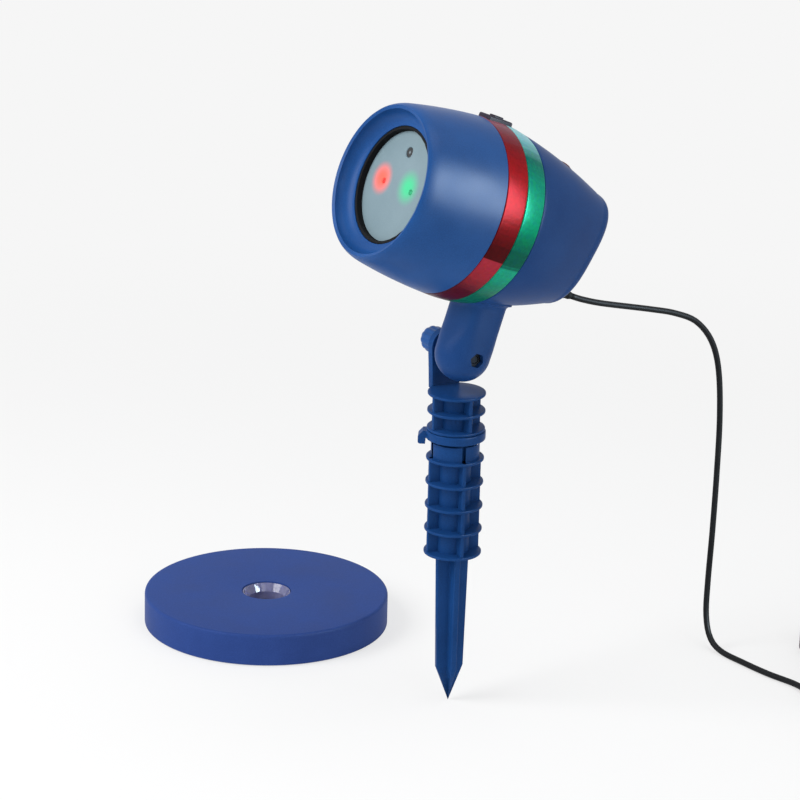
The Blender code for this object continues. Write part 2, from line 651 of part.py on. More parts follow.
def optics(paints, head):
    """Chassis on the shell's three bosses, with the lasers, motor and circuit board."""
    chassis = add(
        "optics_chassis", rod(CHASSIS_RADIUS, CHASSIS_FRONT, CHASSIS_BACK, 32), paints["black"],
        head, in_head(0), REARWARD,
    )
    post_x = BOARD_WIDTH / 2 - 2 * BOARD_POST_RADIUS
    post_up = -BOARD_HEIGHT / 2 + 2 * BOARD_POST_RADIUS
    inside = CHASSIS_FRONT + CHASSIS_THICKNESS / 2
    for side, colour in ((-1, "red"), (1, "green")):
        beam = in_head(0, side * BEAM_X)
        beam_collar = rod(BEAM_TUBE_RADIUS, CHASSIS_FRONT - BEAM_TUBE_LENGTH, inside, 20)
        fuse(chassis, helper(f"{colour}_beam_collar", beam_collar, head, beam, REARWARD))
        post = rod(BOARD_POST_RADIUS, inside, CHASSIS_BACK + BOARD_POST_LENGTH, 10)
        fuse(chassis, helper(f"{colour}_post", post, head, in_head(0, side * post_x, post_up), REARWARD))
        bore = rod(LASER_RADIUS + GAP, 0, 2 * CHASSIS_BACK, 20)
        cut(chassis, helper(f"{colour}_beam_bore", bore, head, beam, REARWARD))
        low = PLATE_BACK + LASER_BACK_FROM_PLATE
        high = low + LASER_LENGTH
        laser = [
            (0, low + LASER_MOUTH), (LASER_MOUTH, low + LASER_MOUTH), (LASER_MOUTH, low),
            (LASER_RADIUS, low), (LASER_RADIUS, high), (0, high),
        ]
        add(f"{colour}_laser_module", turned(laser, 16), paints["brass"], head, beam, REARWARD)
        add(f"{colour}_heat_sink", heat_sink(), paints["alloy"], head, beam, REARWARD)
    shaft_hole = rod(SHAFT_RADIUS + GAP, 0, 2 * CHASSIS_BACK, 10)
    cut(chassis, helper("shaft_hole", shaft_hole, head, in_head(0), REARWARD))
    for number, angle in enumerate(BOSS_ANGLES, 1):
        place = in_head(0, BOSS_RING * sin(angle), BOSS_RING * cos(angle))
        hole = rod(SCREW_RADIUS + GAP, 0, 2 * CHASSIS_BACK, 8)
        cut(chassis, helper(f"screw_hole_{number}", hole, head, place, REARWARD))
        seat = CHASSIS_BACK + GAP
        tip = seat - SCREW_LENGTH
        top = seat + SCREW_HEAD_HEIGHT
        screw = [
            (0, tip), (SCREW_RADIUS, tip + SCREW_RADIUS), (SCREW_RADIUS, seat),
            (SCREW_HEAD_RADIUS, seat), (SCREW_HEAD_RADIUS, top), (0, top),
        ]
        add(f"chassis_screw_{number}", turned(screw, 10), paints["steel"], head, place, REARWARD)
    motor = rod(MOTOR_RADIUS, MOTOR_FRONT, MOTOR_FRONT + MOTOR_LENGTH, 16, MOTOR_CHAMFER)
    add("grating_motor", motor, paints["steel"], head, in_head(0), REARWARD)
    board = block((BOARD_WIDTH, BOARD_THICKNESS, BOARD_HEIGHT))
    add("circuit_board", board, paints["board"], head, in_head(BOARD_FRONT + BOARD_THICKNESS / 2))


def heat_sink():
    """A finned collar that slides on a laser module."""
    root = LASER_RADIUS + GAP + SINK_ROOT
    pitch = SINK_LENGTH / (SINK_FINS * 2 - 1)
    profile = [(LASER_RADIUS + GAP, SINK_FRONT)]
    for fin in range(SINK_FINS):
        low = SINK_FRONT + 2 * fin * pitch
        profile += [(SINK_RADIUS, low), (SINK_RADIUS, low + pitch)]
        if fin < SINK_FINS - 1:
            profile += [(root, low + pitch), (root, low + 2 * pitch)]
    profile.append((LASER_RADIUS + GAP, SINK_FRONT + SINK_LENGTH))
    return turned(profile, 12)


def gear_outline(teeth, pitch_radius, start):
    """Straight-sided teeth with room for the mating gear."""
    module = 2 * pitch_radius / teeth
    tip = pitch_radius + TOOTH_TIP * module
    root = pitch_radius - TOOTH_ROOT * module
    flank = ((root, -ROOT_WIDTH / 2), (tip, -TIP_WIDTH / 2), (tip, TIP_WIDTH / 2), (root, ROOT_WIDTH / 2))
    tooth = 2 * pi / teeth
    points = []
    for i in range(teeth):
        middle = start + i * tooth
        for radius, aside in flank:
            angle = middle + aside * tooth
            points.append((radius * cos(angle), radius * sin(angle)))
    return points


def grating_drive(paints, head):
    """The motor's pinion turns both grating wheels, which run on the beam collars."""
    share = WHEEL_TEETH / (WHEEL_TEETH + PINION_TEETH)
    wheel_radius = BEAM_X * share
    pinion_radius = BEAM_X - wheel_radius
    half_tooth = pi / WHEEL_TEETH
    for side, colour in ((-1, "red"), (1, "green")):
        beam = in_head(WHEEL_FRONT, side * BEAM_X)
        wheel = add(
            f"{colour}_grating_wheel",
            slab(gear_outline(WHEEL_TEETH, wheel_radius, half_tooth), 0, WHEEL_THICKNESS),
            paints["white"], head, beam, REARWARD,
        )
        bore = rod(BEAM_TUBE_RADIUS + GAP, WHEEL_LIP, 2 * WHEEL_THICKNESS, 20)
        cut(wheel, helper(f"{colour}_wheel_bore", bore, head, beam, REARWARD))
        hole = rod(LASER_RADIUS * 0.7, -WHEEL_LIP, 2 * WHEEL_LIP, 12)
        cut(wheel, helper(f"{colour}_wheel_hole", hole, head, beam, REARWARD))
        film = rod(LASER_RADIUS, -GAP - GRATING_THICKNESS, -GAP, 16)
        add(f"{colour}_grating", film, paints["glass"], head, beam, REARWARD)
    pinion = add(
        "motor_pinion", slab(gear_outline(PINION_TEETH, pinion_radius, 0), 0, WHEEL_THICKNESS),
        paints["white"], head, in_head(WHEEL_FRONT), REARWARD,
    )
    shaft = rod(SHAFT_RADIUS, WHEEL_THICKNESS / 2, MOTOR_FRONT - GAP - WHEEL_FRONT, 10)
    fuse(pinion, helper("pinion_shaft", shaft, head, in_head(WHEEL_FRONT), REARWARD))


def controls(paints, head):
    """The mode switch over the bands, the push button on the tail, and the cord's boot."""
    top = switch_place() + Vector((0, 0, SWITCH_TOP))
    height = SWITCH_DEPTH - GAP
    form = block((SWITCH_WIDTH, SWITCH_LENGTH, height), (0, 0, -height / 2), SWITCH_BEVEL)
    housing = add("switch_housing", form, paints["black"], head, top)
    slot = block((SLIDER_WIDTH + 2 * GAP, SLIDER_LENGTH + SLIDER_TRAVEL + 2 * GAP, 2 * SWITCH_WELL))
    cut(housing, helper("switch_slot", slot, head, top))
    lift = SWITCH_WELL - GAP + SLIDER_PROUD
    slider = block((SLIDER_WIDTH, SLIDER_LENGTH, lift), (0, 0, lift / 2 + GAP - SWITCH_WELL), SLIDER_BEVEL)
    add("mode_slider", slider, paints["black"], head, top)

    place, turn = button_seat()
    ring = tube(BUTTON_RADIUS + BUTTON_RING, BUTTON_RADIUS + GAP, -BUTTON_RING_DEPTH, BUTTON_RING_PROUD, 16)
    add("button_ring", ring, paints["black"], head, place, turn)
    dome = BUTTON_DOME
    foot = BUTTON_PROUD - BUTTON_LENGTH
    button = [
        (0, foot), (BUTTON_RADIUS, foot), (BUTTON_RADIUS, BUTTON_PROUD - 2 * dome),
        (BUTTON_RADIUS - dome, BUTTON_PROUD - dome / 2), (0, BUTTON_PROUD),
    ]
    add("rear_button", turned(button, 16), paints["black"], head, place, turn)

    place, turn = boot_seat()
    neck = BOOT_RADIUS - BOOT_NECK
    step = BOOT_RADIUS * sin(TAIL_TILT) + GAP
    flange = step + BOOT_FLANGE
    boot = [
        (0, -BOOT_NECK_LENGTH), (neck, -BOOT_NECK_LENGTH), (neck, step), (BOOT_RADIUS, step),
        (BOOT_RADIUS, flange), (neck, flange + BOOT_NECK), (CORD_RADIUS + 2 * GAP, BOOT_LENGTH),
        (0, BOOT_LENGTH),
    ]
    add("cord_boot", turned(boot, 16), paints["rubber"], head, place, turn)


def clamp(paints, head, knob):
    """The captive nut in the arm, and the knob, washer and bolt that pull on it."""
    nut_back = ARM_RIGHT - NUT_RECESS
    form = hexagon(NUT_ACROSS_FLATS, nut_back - NUT_THICKNESS, nut_back)
    nut = add("clamp_nut", form, paints["dark"], head, (0, 0, 0), ALONG_X)
    thread = rod(BOLT_RADIUS + GAP, -2 * ARM_LEFT, 2 * ARM_RIGHT, 12)
    cut(nut, helper("nut_bore", thread, head, (0, 0, 0), ALONG_X))
    washer_back = EAR_OUTSIDE - GAP - WASHER_THICKNESS
    washer = tube(KNOB_RADIUS - KNOB_SOFTENING, BOLT_RADIUS + GAP, washer_back, EAR_OUTSIDE - GAP, 16)
    add("clamp_washer", washer, paints["steel"], knob, (0, 0, 0), ALONG_X)
    knob_face = washer_back - GAP
    knob_end = knob_face - KNOB_LENGTH
    bolt_end = knob_face - KNOB_LENGTH / 2
    dome = KNOB_RADIUS * KNOB_DOME
    profile = [(0, knob_end)]
    for turn in [radians(a) for a in (30, 60, 90)]:
        profile.append((KNOB_RADIUS - dome * (1 - sin(turn)), knob_end + dome * (1 - cos(turn))))
    profile += [
        (KNOB_RADIUS, knob_face - KNOB_SOFTENING), (KNOB_RADIUS - KNOB_SOFTENING, knob_face),
        (BOLT_RADIUS + GAP, knob_face), (BOLT_RADIUS + GAP, bolt_end), (0, bolt_end),
    ]
    add("clamp_knob", turned(profile, 24), paints["shell"], knob, (0, 0, 0), ALONG_X)
    bolt = rod(BOLT_RADIUS, bolt_end + GAP, nut_back - GAP, 12)
    add("clamp_bolt", bolt, paints["dark"], knob, (0, 0, 0), ALONG_X)


def cross(radius, thickness):
    """The outline of two webs that cross."""
    half = thickness / 2
    points = []
    for quarter in range(4):
        turn = Matrix.Rotation(quarter * pi / 2, 2)
        for corner in ((radius, -half), (radius, half), (half, half)):
            points.append(tuple(turn @ Vector(corner)))
    return points


def stem(paints):
    """Ribbed stem: plug below, ear for the clamp above."""
    plug_end = TOP_RIB + GAP
    chamfer = PLUG_CHAMFER
    profile = [(0, plug_end), (PLUG_RADIUS - chamfer, plug_end), (PLUG_RADIUS, plug_end + chamfer)]
    core = PLUG_RADIUS
    for number in range(STEM_DISC_COUNT):
        low = STEM_BOTTOM + number * STEM_DISC_PITCH
        high = low + RIB_THICKNESS
        profile += [(core, low), (RIB_RADIUS, low), (RIB_RADIUS, high)]
        core = CORE_RADIUS
        if high < STEM_TOP:
            profile.append((core, high))
    profile.append((0, STEM_TOP))
    body = add("stem", turned(profile, STAKE_SEGMENTS), paints["stake"])
    half = RIB_THICKNESS / 2
    webs = slab(cross(WEB_RADIUS, WEB_THICKNESS), STEM_BOTTOM + half, STEM_TOP - half)
    fuse(body, helper("stem_webs", webs))
    foot = STEM_TOP - RIB_THICKNESS - PIVOT.z
    outline = [(-EAR_FOOT_WIDTH / 2, foot)]
    outline += [
        (-EAR_RADIUS * cos(angle), EAR_RADIUS * sin(angle)) for angle in [pi * i / 10 for i in range(11)]
    ]
    outline.append((EAR_FOOT_WIDTH / 2, foot))
    # The outline's height points along -X before the ear is turned upright
    ear = slab([(-up, y) for y, up in outline], EAR_OUTSIDE, EAR_FACE)
    fuse(body, helper("ear_form", ear, None, PIVOT, ALONG_X))
    hole = rod(BOLT_RADIUS + GAP, 2 * EAR_OUTSIDE, 0, 12)
    cut(body, helper("ear_hole", hole, None, PIVOT, ALONG_X))


def collar(paints):
    """The twist ring that locks stem and stake, with a thumb tab that hangs outside the stake's rib."""
    low = STAKE_TOP + GAP
    high = low + COLLAR_HEIGHT
    soft = COLLAR_SOFTENING
    bore = NECK_RADIUS + GAP
    profile = [
        (bore, low), (COLLAR_RADIUS - soft, low), (COLLAR_RADIUS, low + soft),
        (COLLAR_RADIUS, high - soft), (COLLAR_RADIUS - soft, high), (bore, high),
    ]
    ring = add("lock_collar", turned(profile, STAKE_SEGMENTS), paints["stake"])
    inner = COLLAR_RADIUS - 2 * soft
    clear = max(RIB_RADIUS + 2 * GAP, inner)
    foot = low - TAB_DROP
    side = [
        (inner, low + soft / 2), (clear, low + soft / 2), (clear, foot), (TAB_REACH - TAB_SLOPE, foot),
        (TAB_REACH, foot + TAB_SLOPE), (TAB_REACH, low + TAB_SLOPE), (clear + TAB_SLOPE, high - soft),
        (inner, high - soft),
    ]
    tab = skinned([[Vector((x, y, z)) for x, z in side] for y in (-TAB_WIDTH / 2, TAB_WIDTH / 2)])
    fuse(ring, helper("thumb_tab", tab, None, (0, 0, 0), (0, 0, TAB_ANGLE)))


def stake(paints):
    """Ground stake: socket for the stem's plug, ribbed shank, and the cross-shaped spike."""
    ribs = [SHOULDER_TOP - RIB_THICKNESS + i * STAKE_RIB_PITCH for i in range(STAKE_RIB_COUNT)]
    ribs.append(STAKE_TOP - RIB_THICKNESS)
    soft = NECK_SOFTENING
    socket = NECK_RADIUS + soft
    profile = [(0, SPIKE_LENGTH), (SPIKE_LOW_WIDTH / 2, SPIKE_LENGTH)]
    for number, low in enumerate(ribs):
        high = low + RIB_THICKNESS
        core = socket if number >= STAKE_RIB_COUNT - 1 else CORE_RADIUS
        if number:
            profile.append((socket if number == STAKE_RIB_COUNT else CORE_RADIUS, low))
        profile += [(RIB_RADIUS, low), (RIB_RADIUS, high)]
        if number < STAKE_RIB_COUNT:
            profile.append((core, high))
    profile += [(NECK_RADIUS, STAKE_TOP), (NECK_RADIUS, NECK_TOP - soft)]
    profile += [(NECK_RADIUS - soft, NECK_TOP), (0, NECK_TOP)]
    turn = (0, 0, STAKE_TURN)
    body = add("ground_stake", turned(profile, STAKE_SEGMENTS), paints["stake"], None, (0, 0, 0), turn)
    half = RIB_THICKNESS / 2
    webs = slab(cross(WEB_RADIUS, WEB_THICKNESS), SHOULDER_TOP - half, STAKE_TOP - half)
    fuse(body, helper("stake_webs", webs, None, (0, 0, 0), turn))
    levels = [(SHOULDER_TOP - RIB_THICKNESS, SPIKE_TOP_WIDTH / 2), (POINT_LENGTH, SPIKE_LOW_WIDTH / 2)]
    rings = [[Vector((x, y, height)) for x, y in cross(radius, SPIKE_WEB)] for height, radius in levels]
    spike = skinned(rings + [[Vector((0, 0, 0))]])
    fuse(body, helper("spike_form", spike, None, (0, 0, 0), turn))
    bore = rod(PLUG_RADIUS + PLUG_CLEARANCE, TOP_RIB, 2 * NECK_TOP, STAKE_SEGMENTS)
    cut(body, helper("stake_bore", bore))


def indoor_base(paints):
    """Round base that takes the stem instead of the stake: cover, liner, weight and feet."""
    under = FOOT_HEIGHT - FOOT_SINK
    centre = bpy.data.objects.new("base_place", None)
    bpy.context.scene.collection.objects.link(centre)
    centre.location = BASE_PLACE
    edge = BASE_EDGE
    profile = [
        (BASE_MOUTH_RADIUS, BASE_HEIGHT - BASE_WALL), (BASE_RADIUS - BASE_WALL, BASE_HEIGHT - BASE_WALL),
        (BASE_RADIUS - BASE_WALL, under), (BASE_RADIUS, under), (BASE_RADIUS, BASE_HEIGHT - edge),
        (BASE_RADIUS - edge * 0.3, BASE_HEIGHT - edge * 0.3), (BASE_RADIUS - edge, BASE_HEIGHT),
        (BASE_MOUTH_RADIUS + BASE_MOUTH_BEVEL, BASE_HEIGHT),
        (BASE_MOUTH_RADIUS, BASE_HEIGHT - BASE_MOUTH_BEVEL),
    ]
    add("base_shell", turned(profile, BASE_SEGMENTS), paints["base"], centre)
    floor = under + COVER_THICKNESS
    bore = PLUG_RADIUS + PLUG_CLEARANCE
    liner_outside = BASE_MOUTH_RADIUS - GAP
    top = BASE_HEIGHT - LINER_SINK
    liner = [
        (bore, floor + GAP), (liner_outside, floor + GAP), (liner_outside, top),
        (liner_outside - LINER_RIM, top), (bore, top - LINER_FUNNEL),
    ]
    add("base_liner", turned(liner, STAKE_SEGMENTS), paints["liner"], centre)
    weight_top = min(floor + GAP + WEIGHT_THICKNESS, BASE_HEIGHT - BASE_WALL - GAP)
    weight_rim = BASE_RADIUS - BASE_WALL - WEIGHT_ROOM
    weight = tube(weight_rim, BASE_MOUTH_RADIUS + GAP, floor + GAP, weight_top, STAKE_SEGMENTS)
    add("base_weight", weight, paints["steel"], centre)
    plate = rod(BASE_RADIUS - BASE_WALL - GAP, under, floor, BASE_SEGMENTS)
    cover = add("base_cover", plate, paints["black"], centre)
    for number in range(FOOT_COUNT):
        angle = 2 * pi * (number + 0.5) / FOOT_COUNT
        place = (FOOT_RING * cos(angle), FOOT_RING * sin(angle), 0)
        seat = rod(FOOT_RADIUS + GAP, -FOOT_HEIGHT, FOOT_HEIGHT, 16)
        cut(cover, helper(f"foot_seat_{number}", seat, centre, place))
        foot = rod(FOOT_RADIUS, 0, FOOT_HEIGHT - GAP, 16)
        add(f"base_foot_{number + 1}", foot, paints["rubber"], centre, place)


def smooth_route(points, spacing):
    """Points every so often along a smooth curve through the route's points."""
    ends = [points[0] * 2 - points[1], *points, points[-1] * 2 - points[-2]]
    fine = []
    for a, b, c, d in zip(ends, ends[1:], ends[2:], ends[3:]):
        for step in range(24):
            t = step / 24
            fine.append((
                2 * b + (c - a) * t + (2 * a - 5 * b + 4 * c - d) * t * t + (3 * b - a - 3 * c + d) * t ** 3
            ) / 2)
    fine.append(points[-1])
    lengths = [0.0]
    for a, b in zip(fine, fine[1:]):
        lengths.append(lengths[-1] + (b - a).length)
    count = round(lengths[-1] / spacing)
    out = []
    place = 0
    for i in range(count + 1):
        want = lengths[-1] * i / count
        while place < len(fine) - 2 and lengths[place + 1] < want:
            place += 1
        share = (want - lengths[place]) / (lengths[place + 1] - lengths[place])
        out.append(fine[place].lerp(fine[place + 1], share))
    return out


def cord_tube(name, points, detail, finish):
    """An unbroken round tube along its points."""
    line = bpy.data.curves.new(name, "CURVE")
    line.dimensions = "3D"
    line.bevel_depth = CORD_RADIUS
    line.bevel_resolution = detail
    line.use_fill_caps = True
    spline = line.splines.new("POLY")
    spline.points.add(len(points) - 1)
    for knot, point in zip(spline.points, points):
        knot.co = (*point, 1)
    thing = bpy.data.objects.new(name, line)
    bpy.context.scene.collection.objects.link(thing)
    line.materials.append(finish)
    return thing


COIL_OUTER_RADIUS = COIL_INNER_RADIUS + LOOPS_PER_LAYER * COIL_STEP
COIL_LOW = CORD_RADIUS + TIE_THICKNESS + 2 * GAP   # height of the lowest turns' middle
COIL_START = -pi / 2


def coil_points():
    """Turns that spiral in, climb half a turn, spiral out, and so on up the layers."""
    turns = COIL_LAYERS * LOOPS_PER_LAYER + (COIL_LAYERS - 1) / 2
    cycle = LOOPS_PER_LAYER + 0.5
    points = []
    for i in range(round(turns * LOOP_SEGMENTS) + 1):
        turn = i / LOOP_SEGMENTS
        layer = min(int(turn / cycle), COIL_LAYERS - 1)
        along = turn - layer * cycle
        inwards = layer % 2 == 0
        climb = 0.0
        if along <= LOOPS_PER_LAYER:
            radius = COIL_OUTER_RADIUS - COIL_STEP * along
        else:
            late = along - LOOPS_PER_LAYER
            radius = COIL_INNER_RADIUS - COIL_STEP * (late - 2 * late * late)
            climb = 2 * late
        if not inwards:
            radius = COIL_OUTER_RADIUS + COIL_INNER_RADIUS - radius
        angle = COIL_START + 2 * pi * turn
        height = COIL_LOW + COIL_CLIMB * (layer + climb)
        points.append(COIL_PLACE + Vector((radius * cos(angle), radius * sin(angle), height)))
    lead = 2 * CORD_RADIUS
    first = points[0] + Vector((-lead, 0, 0))
    last = points[-1] + Vector((-ADAPTER_LEAD, 0, 0))
    return [first, *points, last]


def least_gap(points, radius):
    """The least clear distance between stretches of a tube that aren't neighbours."""
    apart = LOOP_SEGMENTS // 2
    nearest = 1.0
    for i, here in enumerate(points):
        for there in points[i + apart:]:
            nearest = min(nearest, (here - there).length)
    return nearest - 2 * radius


def cord(paints, head_matrix):
    """The cord from the boot to the ground and its coil, with the wall adapter on its end."""
    place, turn = boot_seat()
    end = head_matrix @ (place + Vector((0, BOOT_LENGTH + GAP, 0)))
    out = (head_matrix.to_3x3() @ Vector((0, 1, 0))).normalized()
    coil_line = coil_points()
    route = [end, end + out * CORD_EXIT]
    route += [Vector(point) * MM for point in CORD_ROUTE]
    route += [coil_line[0] + Vector(point) * MM for point in COIL_APPROACH]
    route.append(coil_line[0] + Vector((-GAP, 0, 0)))
    cord_tube("power_cord", smooth_route(route, CORD_SPACING), 2, paints["rubber"])
    cord_tube("cord_coil", coil_line, 1, paints["rubber"])
    print("coil's least gap to itself, mm:", round(least_gap(coil_line, CORD_RADIUS) / MM, 2))

    middle = (COIL_OUTER_RADIUS + COIL_INNER_RADIUS) / 2
    rise = (COIL_LAYERS - 1) * COIL_CLIMB / 2
    half_wide = (COIL_OUTER_RADIUS - COIL_INNER_RADIUS) / 2 + COIL_STEP / 8 + CORD_RADIUS + 2 * GAP
    half_high = rise + CORD_RADIUS + 2 * GAP
    rings = []
    for along, grow in ((-1, TIE_THICKNESS), (1, TIE_THICKNESS), (1, 0), (-1, 0)):
        rings.append([
            Vector((x * (half_wide + grow), along * TIE_WIDTH / 2, y * (half_high + grow)))
            for x, y in superellipse(24, TIE_SQUARENESS)
        ])
    tie_place = COIL_PLACE + Vector((middle, 0, COIL_LOW + rise))
    add("coil_tie", skinned(rings, joined=True), paints["rubber"], None, tie_place)

    tip = coil_line[-1]
    boot_face = tip.x - GAP
    boot = [
        (0, 0), (CORD_RADIUS + 2 * GAP, 0), (BOOT_RADIUS, ADAPTER_BOOT_LENGTH * 0.8),
        (BOOT_RADIUS, ADAPTER_BOOT_LENGTH), (0, ADAPTER_BOOT_LENGTH),
    ]
    add("adapter_boot", turned(boot, 16), paints["rubber"], None, (boot_face, tip.y, tip.z), (0, -pi / 2, 0))
    size = ADAPTER_SIZE
    centre = Vector((boot_face - ADAPTER_BOOT_LENGTH - GAP - size.x / 2, tip.y, size.z / 2))
    add("adapter_case", block(size, (0, 0, 0), ADAPTER_BEVEL), paints["black"], None, centre)
    for number, side in enumerate((-1, 1), 1):
        at = centre + Vector((0, size.y / 2 + GAP + BLADE_SIZE.y / 2, side * BLADE_SPACING / 2))
        add(f"adapter_blade_{number}", block(BLADE_SIZE), paints["steel"], None, at)


def build():
    for thing in list(bpy.data.objects):
        bpy.data.objects.remove(thing)
    paints = finishes()
    head = bpy.data.objects.new("head_pivot", None)
    knob = bpy.data.objects.new("knob_pivot", None)
    for pivot in (head, knob):
        bpy.context.scene.collection.objects.link(pivot)
        pivot.location = PIVOT
    head.rotation_euler = (-HEAD_PITCH, 0, 0)
    head_shells(paints, head)
    face(paints, head)
    optics(paints, head)
    grating_drive(paints, head)
    controls(paints, head)
    clamp(paints, head, knob)
    stem(paints)
    collar(paints)
    stake(paints)
    indoor_base(paints)
    head_matrix = Matrix.Translation(PIVOT) @ Matrix.Rotation(-HEAD_PITCH, 4, "X")
    cord(paints, head_matrix)


build()
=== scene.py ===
"""Looks of a garden laser star projector: head, clamp, ribbed stem and stake, cord, and round indoor base."""

import bmesh
import bpy
from math import atan2, copysign, cos, pi, radians, sin, sqrt, tan
from mathutils import Matrix, Vector


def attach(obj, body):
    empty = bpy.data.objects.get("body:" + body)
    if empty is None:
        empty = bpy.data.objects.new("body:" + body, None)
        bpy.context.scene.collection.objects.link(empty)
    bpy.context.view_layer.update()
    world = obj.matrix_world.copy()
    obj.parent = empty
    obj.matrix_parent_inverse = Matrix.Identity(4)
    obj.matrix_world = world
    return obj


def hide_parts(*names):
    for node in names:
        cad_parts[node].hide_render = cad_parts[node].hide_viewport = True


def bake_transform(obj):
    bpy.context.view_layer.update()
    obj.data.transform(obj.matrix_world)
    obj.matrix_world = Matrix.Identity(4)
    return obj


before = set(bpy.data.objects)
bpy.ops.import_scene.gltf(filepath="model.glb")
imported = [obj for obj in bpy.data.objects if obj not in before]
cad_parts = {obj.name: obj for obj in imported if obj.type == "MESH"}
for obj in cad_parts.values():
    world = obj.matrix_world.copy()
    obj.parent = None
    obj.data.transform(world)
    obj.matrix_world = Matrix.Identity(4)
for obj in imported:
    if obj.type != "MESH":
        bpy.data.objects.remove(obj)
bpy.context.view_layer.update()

MM = 0.001
GAP = 0.3 * MM
FINE = 144                # segments round the head

# The head: depths run back from the lip, along the head's own axis
FRONT_LENGTH = 54.5 * MM
BAND_LENGTH = 15.0 * MM
BAND_CROWN = 0.15 * MM
TAIL_LENGTH = 67.3 * MM
CREST_RADIUS = 57.3 * MM
LIP_RADIUS = 49.2 * MM
FRONT_CURVE = 1.8
TAIL_CURVE = 1.45
TAIL_RADIUS = 39.0 * MM
TAIL_WIDTH_SHARE = 0.806
TAIL_NARROWING = 1.6
TAIL_SQUARENESS = 2.92
TAIL_ROUNDING = 7.3 * MM
TAIL_BULGE = 0.3 * MM
TAIL_TILT = radians(10.3)
TAIL_DROP = 2.8 * MM
SHELL_WALL = 2.4 * MM
SPIGOT_RADIUS = 54.0 * MM
SPIGOT_LAP = 6.0 * MM
LIP_WALL = 3.6 * MM
LIP_FALL = 8.0 * MM       # how far back the lip's rounding starts
LIP_TURN_IN = 1.9 * MM
BEZEL_DEPTH = 9.5 * MM
BEZEL_RADIUS = 37.2 * MM
BEZEL_SEAT = 2.4 * MM
PLATE_FRONT = 13.5 * MM
PLATE_BACK = 15.5 * MM
PLATE_RADIUS = 34.9 * MM
BEAM_X = 15.6 * MM
BEAM_HOLE_RADIUS = 1.7 * MM
SENSOR_HEIGHT = 22.0 * MM
SENSOR_HOLE_RADIUS = 3.2 * MM
CHASSIS_FRONT = 30.5 * MM
BOSS_RING = 44.5 * MM
BOSS_RADIUS = 3.6 * MM
BOSS_BORE = 1.8 * MM      # for the chassis screws
CREST_DEPTH = FRONT_LENGTH + BAND_LENGTH
TAIL_START = FRONT_LENGTH + 2 * BAND_LENGTH
TAIL_END = TAIL_START + TAIL_LENGTH
TAIL_EDGE = TAIL_END - TAIL_ROUNDING

# The tilt hinge and the clamp
HEAD_PITCH = radians(22)
AXIS_ABOVE_PIVOT = 86.0 * MM
LIP_AHEAD_OF_PIVOT = 101.0 * MM
PIVOT = Vector((0, 1.5 * MM, 233.9 * MM))
ARM_LEFT = 14.9 * MM
ARM_RIGHT = 20.8 * MM
ARM_TOP = 40.0 * MM
BALL_RADIUS = 17.5 * MM
BALL_MIDDLE = 2.95 * MM   # along the hinge line
COLUMN_START = 18.0 * MM  # where the ball has turned into the column
COLUMN_HALF_DEPTH = 14.4 * MM
COLUMN_SQUARENESS = 3.0
COLUMN_LEAN = 0.057       # forward, over its height
CLAMP_PAD_RADIUS = 8.0 * MM
ARM_FLARE = 3.2 * MM      # of the arm's foot into the tail
BOLT_RADIUS = 2.5 * MM
NUT_POCKET_FLATS = 8.6 * MM
NUT_POCKET_END = 12.5 * MM
EAR_FACE = -15.2 * MM
EAR_OUTSIDE = -20.2 * MM
EAR_RADIUS = 11.0 * MM
EAR_FOOT_WIDTH = 20.2 * MM
KNOB_RADIUS = 8.6 * MM
KNOB_FACE = -21.8 * MM
KNOB_LENGTH = 16.0 * MM
KNOB_FLUTES = 12
KNOB_FLUTE_DEPTH = 0.55 * MM

# Stake and stem, from the tip upwards
SPIKE_LENGTH = 98.5 * MM
POINT_LENGTH = 24.0 * MM
SPIKE_TOP_WIDTH = 21.4 * MM
SPIKE_LOW_WIDTH = 18.0 * MM
SPIKE_WEB = 3.6 * MM
SHOULDER_TOP = 103.5 * MM
STAKE_RIB_PITCH = 15.7 * MM
STAKE_RIB_COUNT = 5
RIB_RADIUS = 18.3 * MM
RIB_THICKNESS = 1.8 * MM
RIB_ROUNDING = 0.55 * MM
WEB_RADIUS = 17.4 * MM
WEB_THICKNESS = 2.4 * MM
CORE_RADIUS = 10.5 * MM
STAKE_TURN = radians(-11)
NECK_RADIUS = 15.0 * MM
TOP_RIB = SHOULDER_TOP + (STAKE_RIB_COUNT - 1) * STAKE_RIB_PITCH
STAKE_TOP = TOP_RIB + 11.6 * MM
NECK_TOP = STAKE_TOP + 4.6 * MM
STEM_BOTTOM = STAKE_TOP + 6.2 * MM
STEM_DISC_PITCH = 11.5 * MM
STEM_DISC_COUNT = 3
STEM_TOP = STEM_BOTTOM + (STEM_DISC_COUNT - 1) * STEM_DISC_PITCH + RIB_THICKNESS
PLUG_RADIUS = 12.0 * MM
COLLAR_RADIUS = 18.9 * MM
COLLAR_HEIGHT = 5.6 * MM
TAB_REACH = 23.6 * MM
TAB_WIDTH = 9.0 * MM
TAB_DROP = 3.5 * MM
TAB_SLOPE = 1.6 * MM
TAB_ANGLE = radians(236)

# Controls on the head
SWITCH_START = 1.5 * MM
SWITCH_LENGTH = 18.5 * MM
SWITCH_WIDTH = 12.5 * MM
SWITCH_TOP = 59.4 * MM
SWITCH_DEPTH = 10.3 * MM
SWITCH_WELL = 3.0 * MM
SLIDER_LENGTH = 7.0 * MM
SLIDER_WIDTH = 6.0 * MM
SLIDER_PROUD = 1.0 * MM
SLIDER_TRAVEL = 6.0 * MM
BUTTON_BACK = 37.5 * MM
BUTTON_RADIUS = 4.2 * MM
BUTTON_RING = 1.6 * MM
BUTTON_RING_PROUD = 0.8 * MM
BUTTON_RING_DEPTH = 3.0 * MM
BUTTON_PROUD = 1.8 * MM
BUTTON_DOME = 0.6 * MM
BUTTON_LENGTH = 7.0 * MM

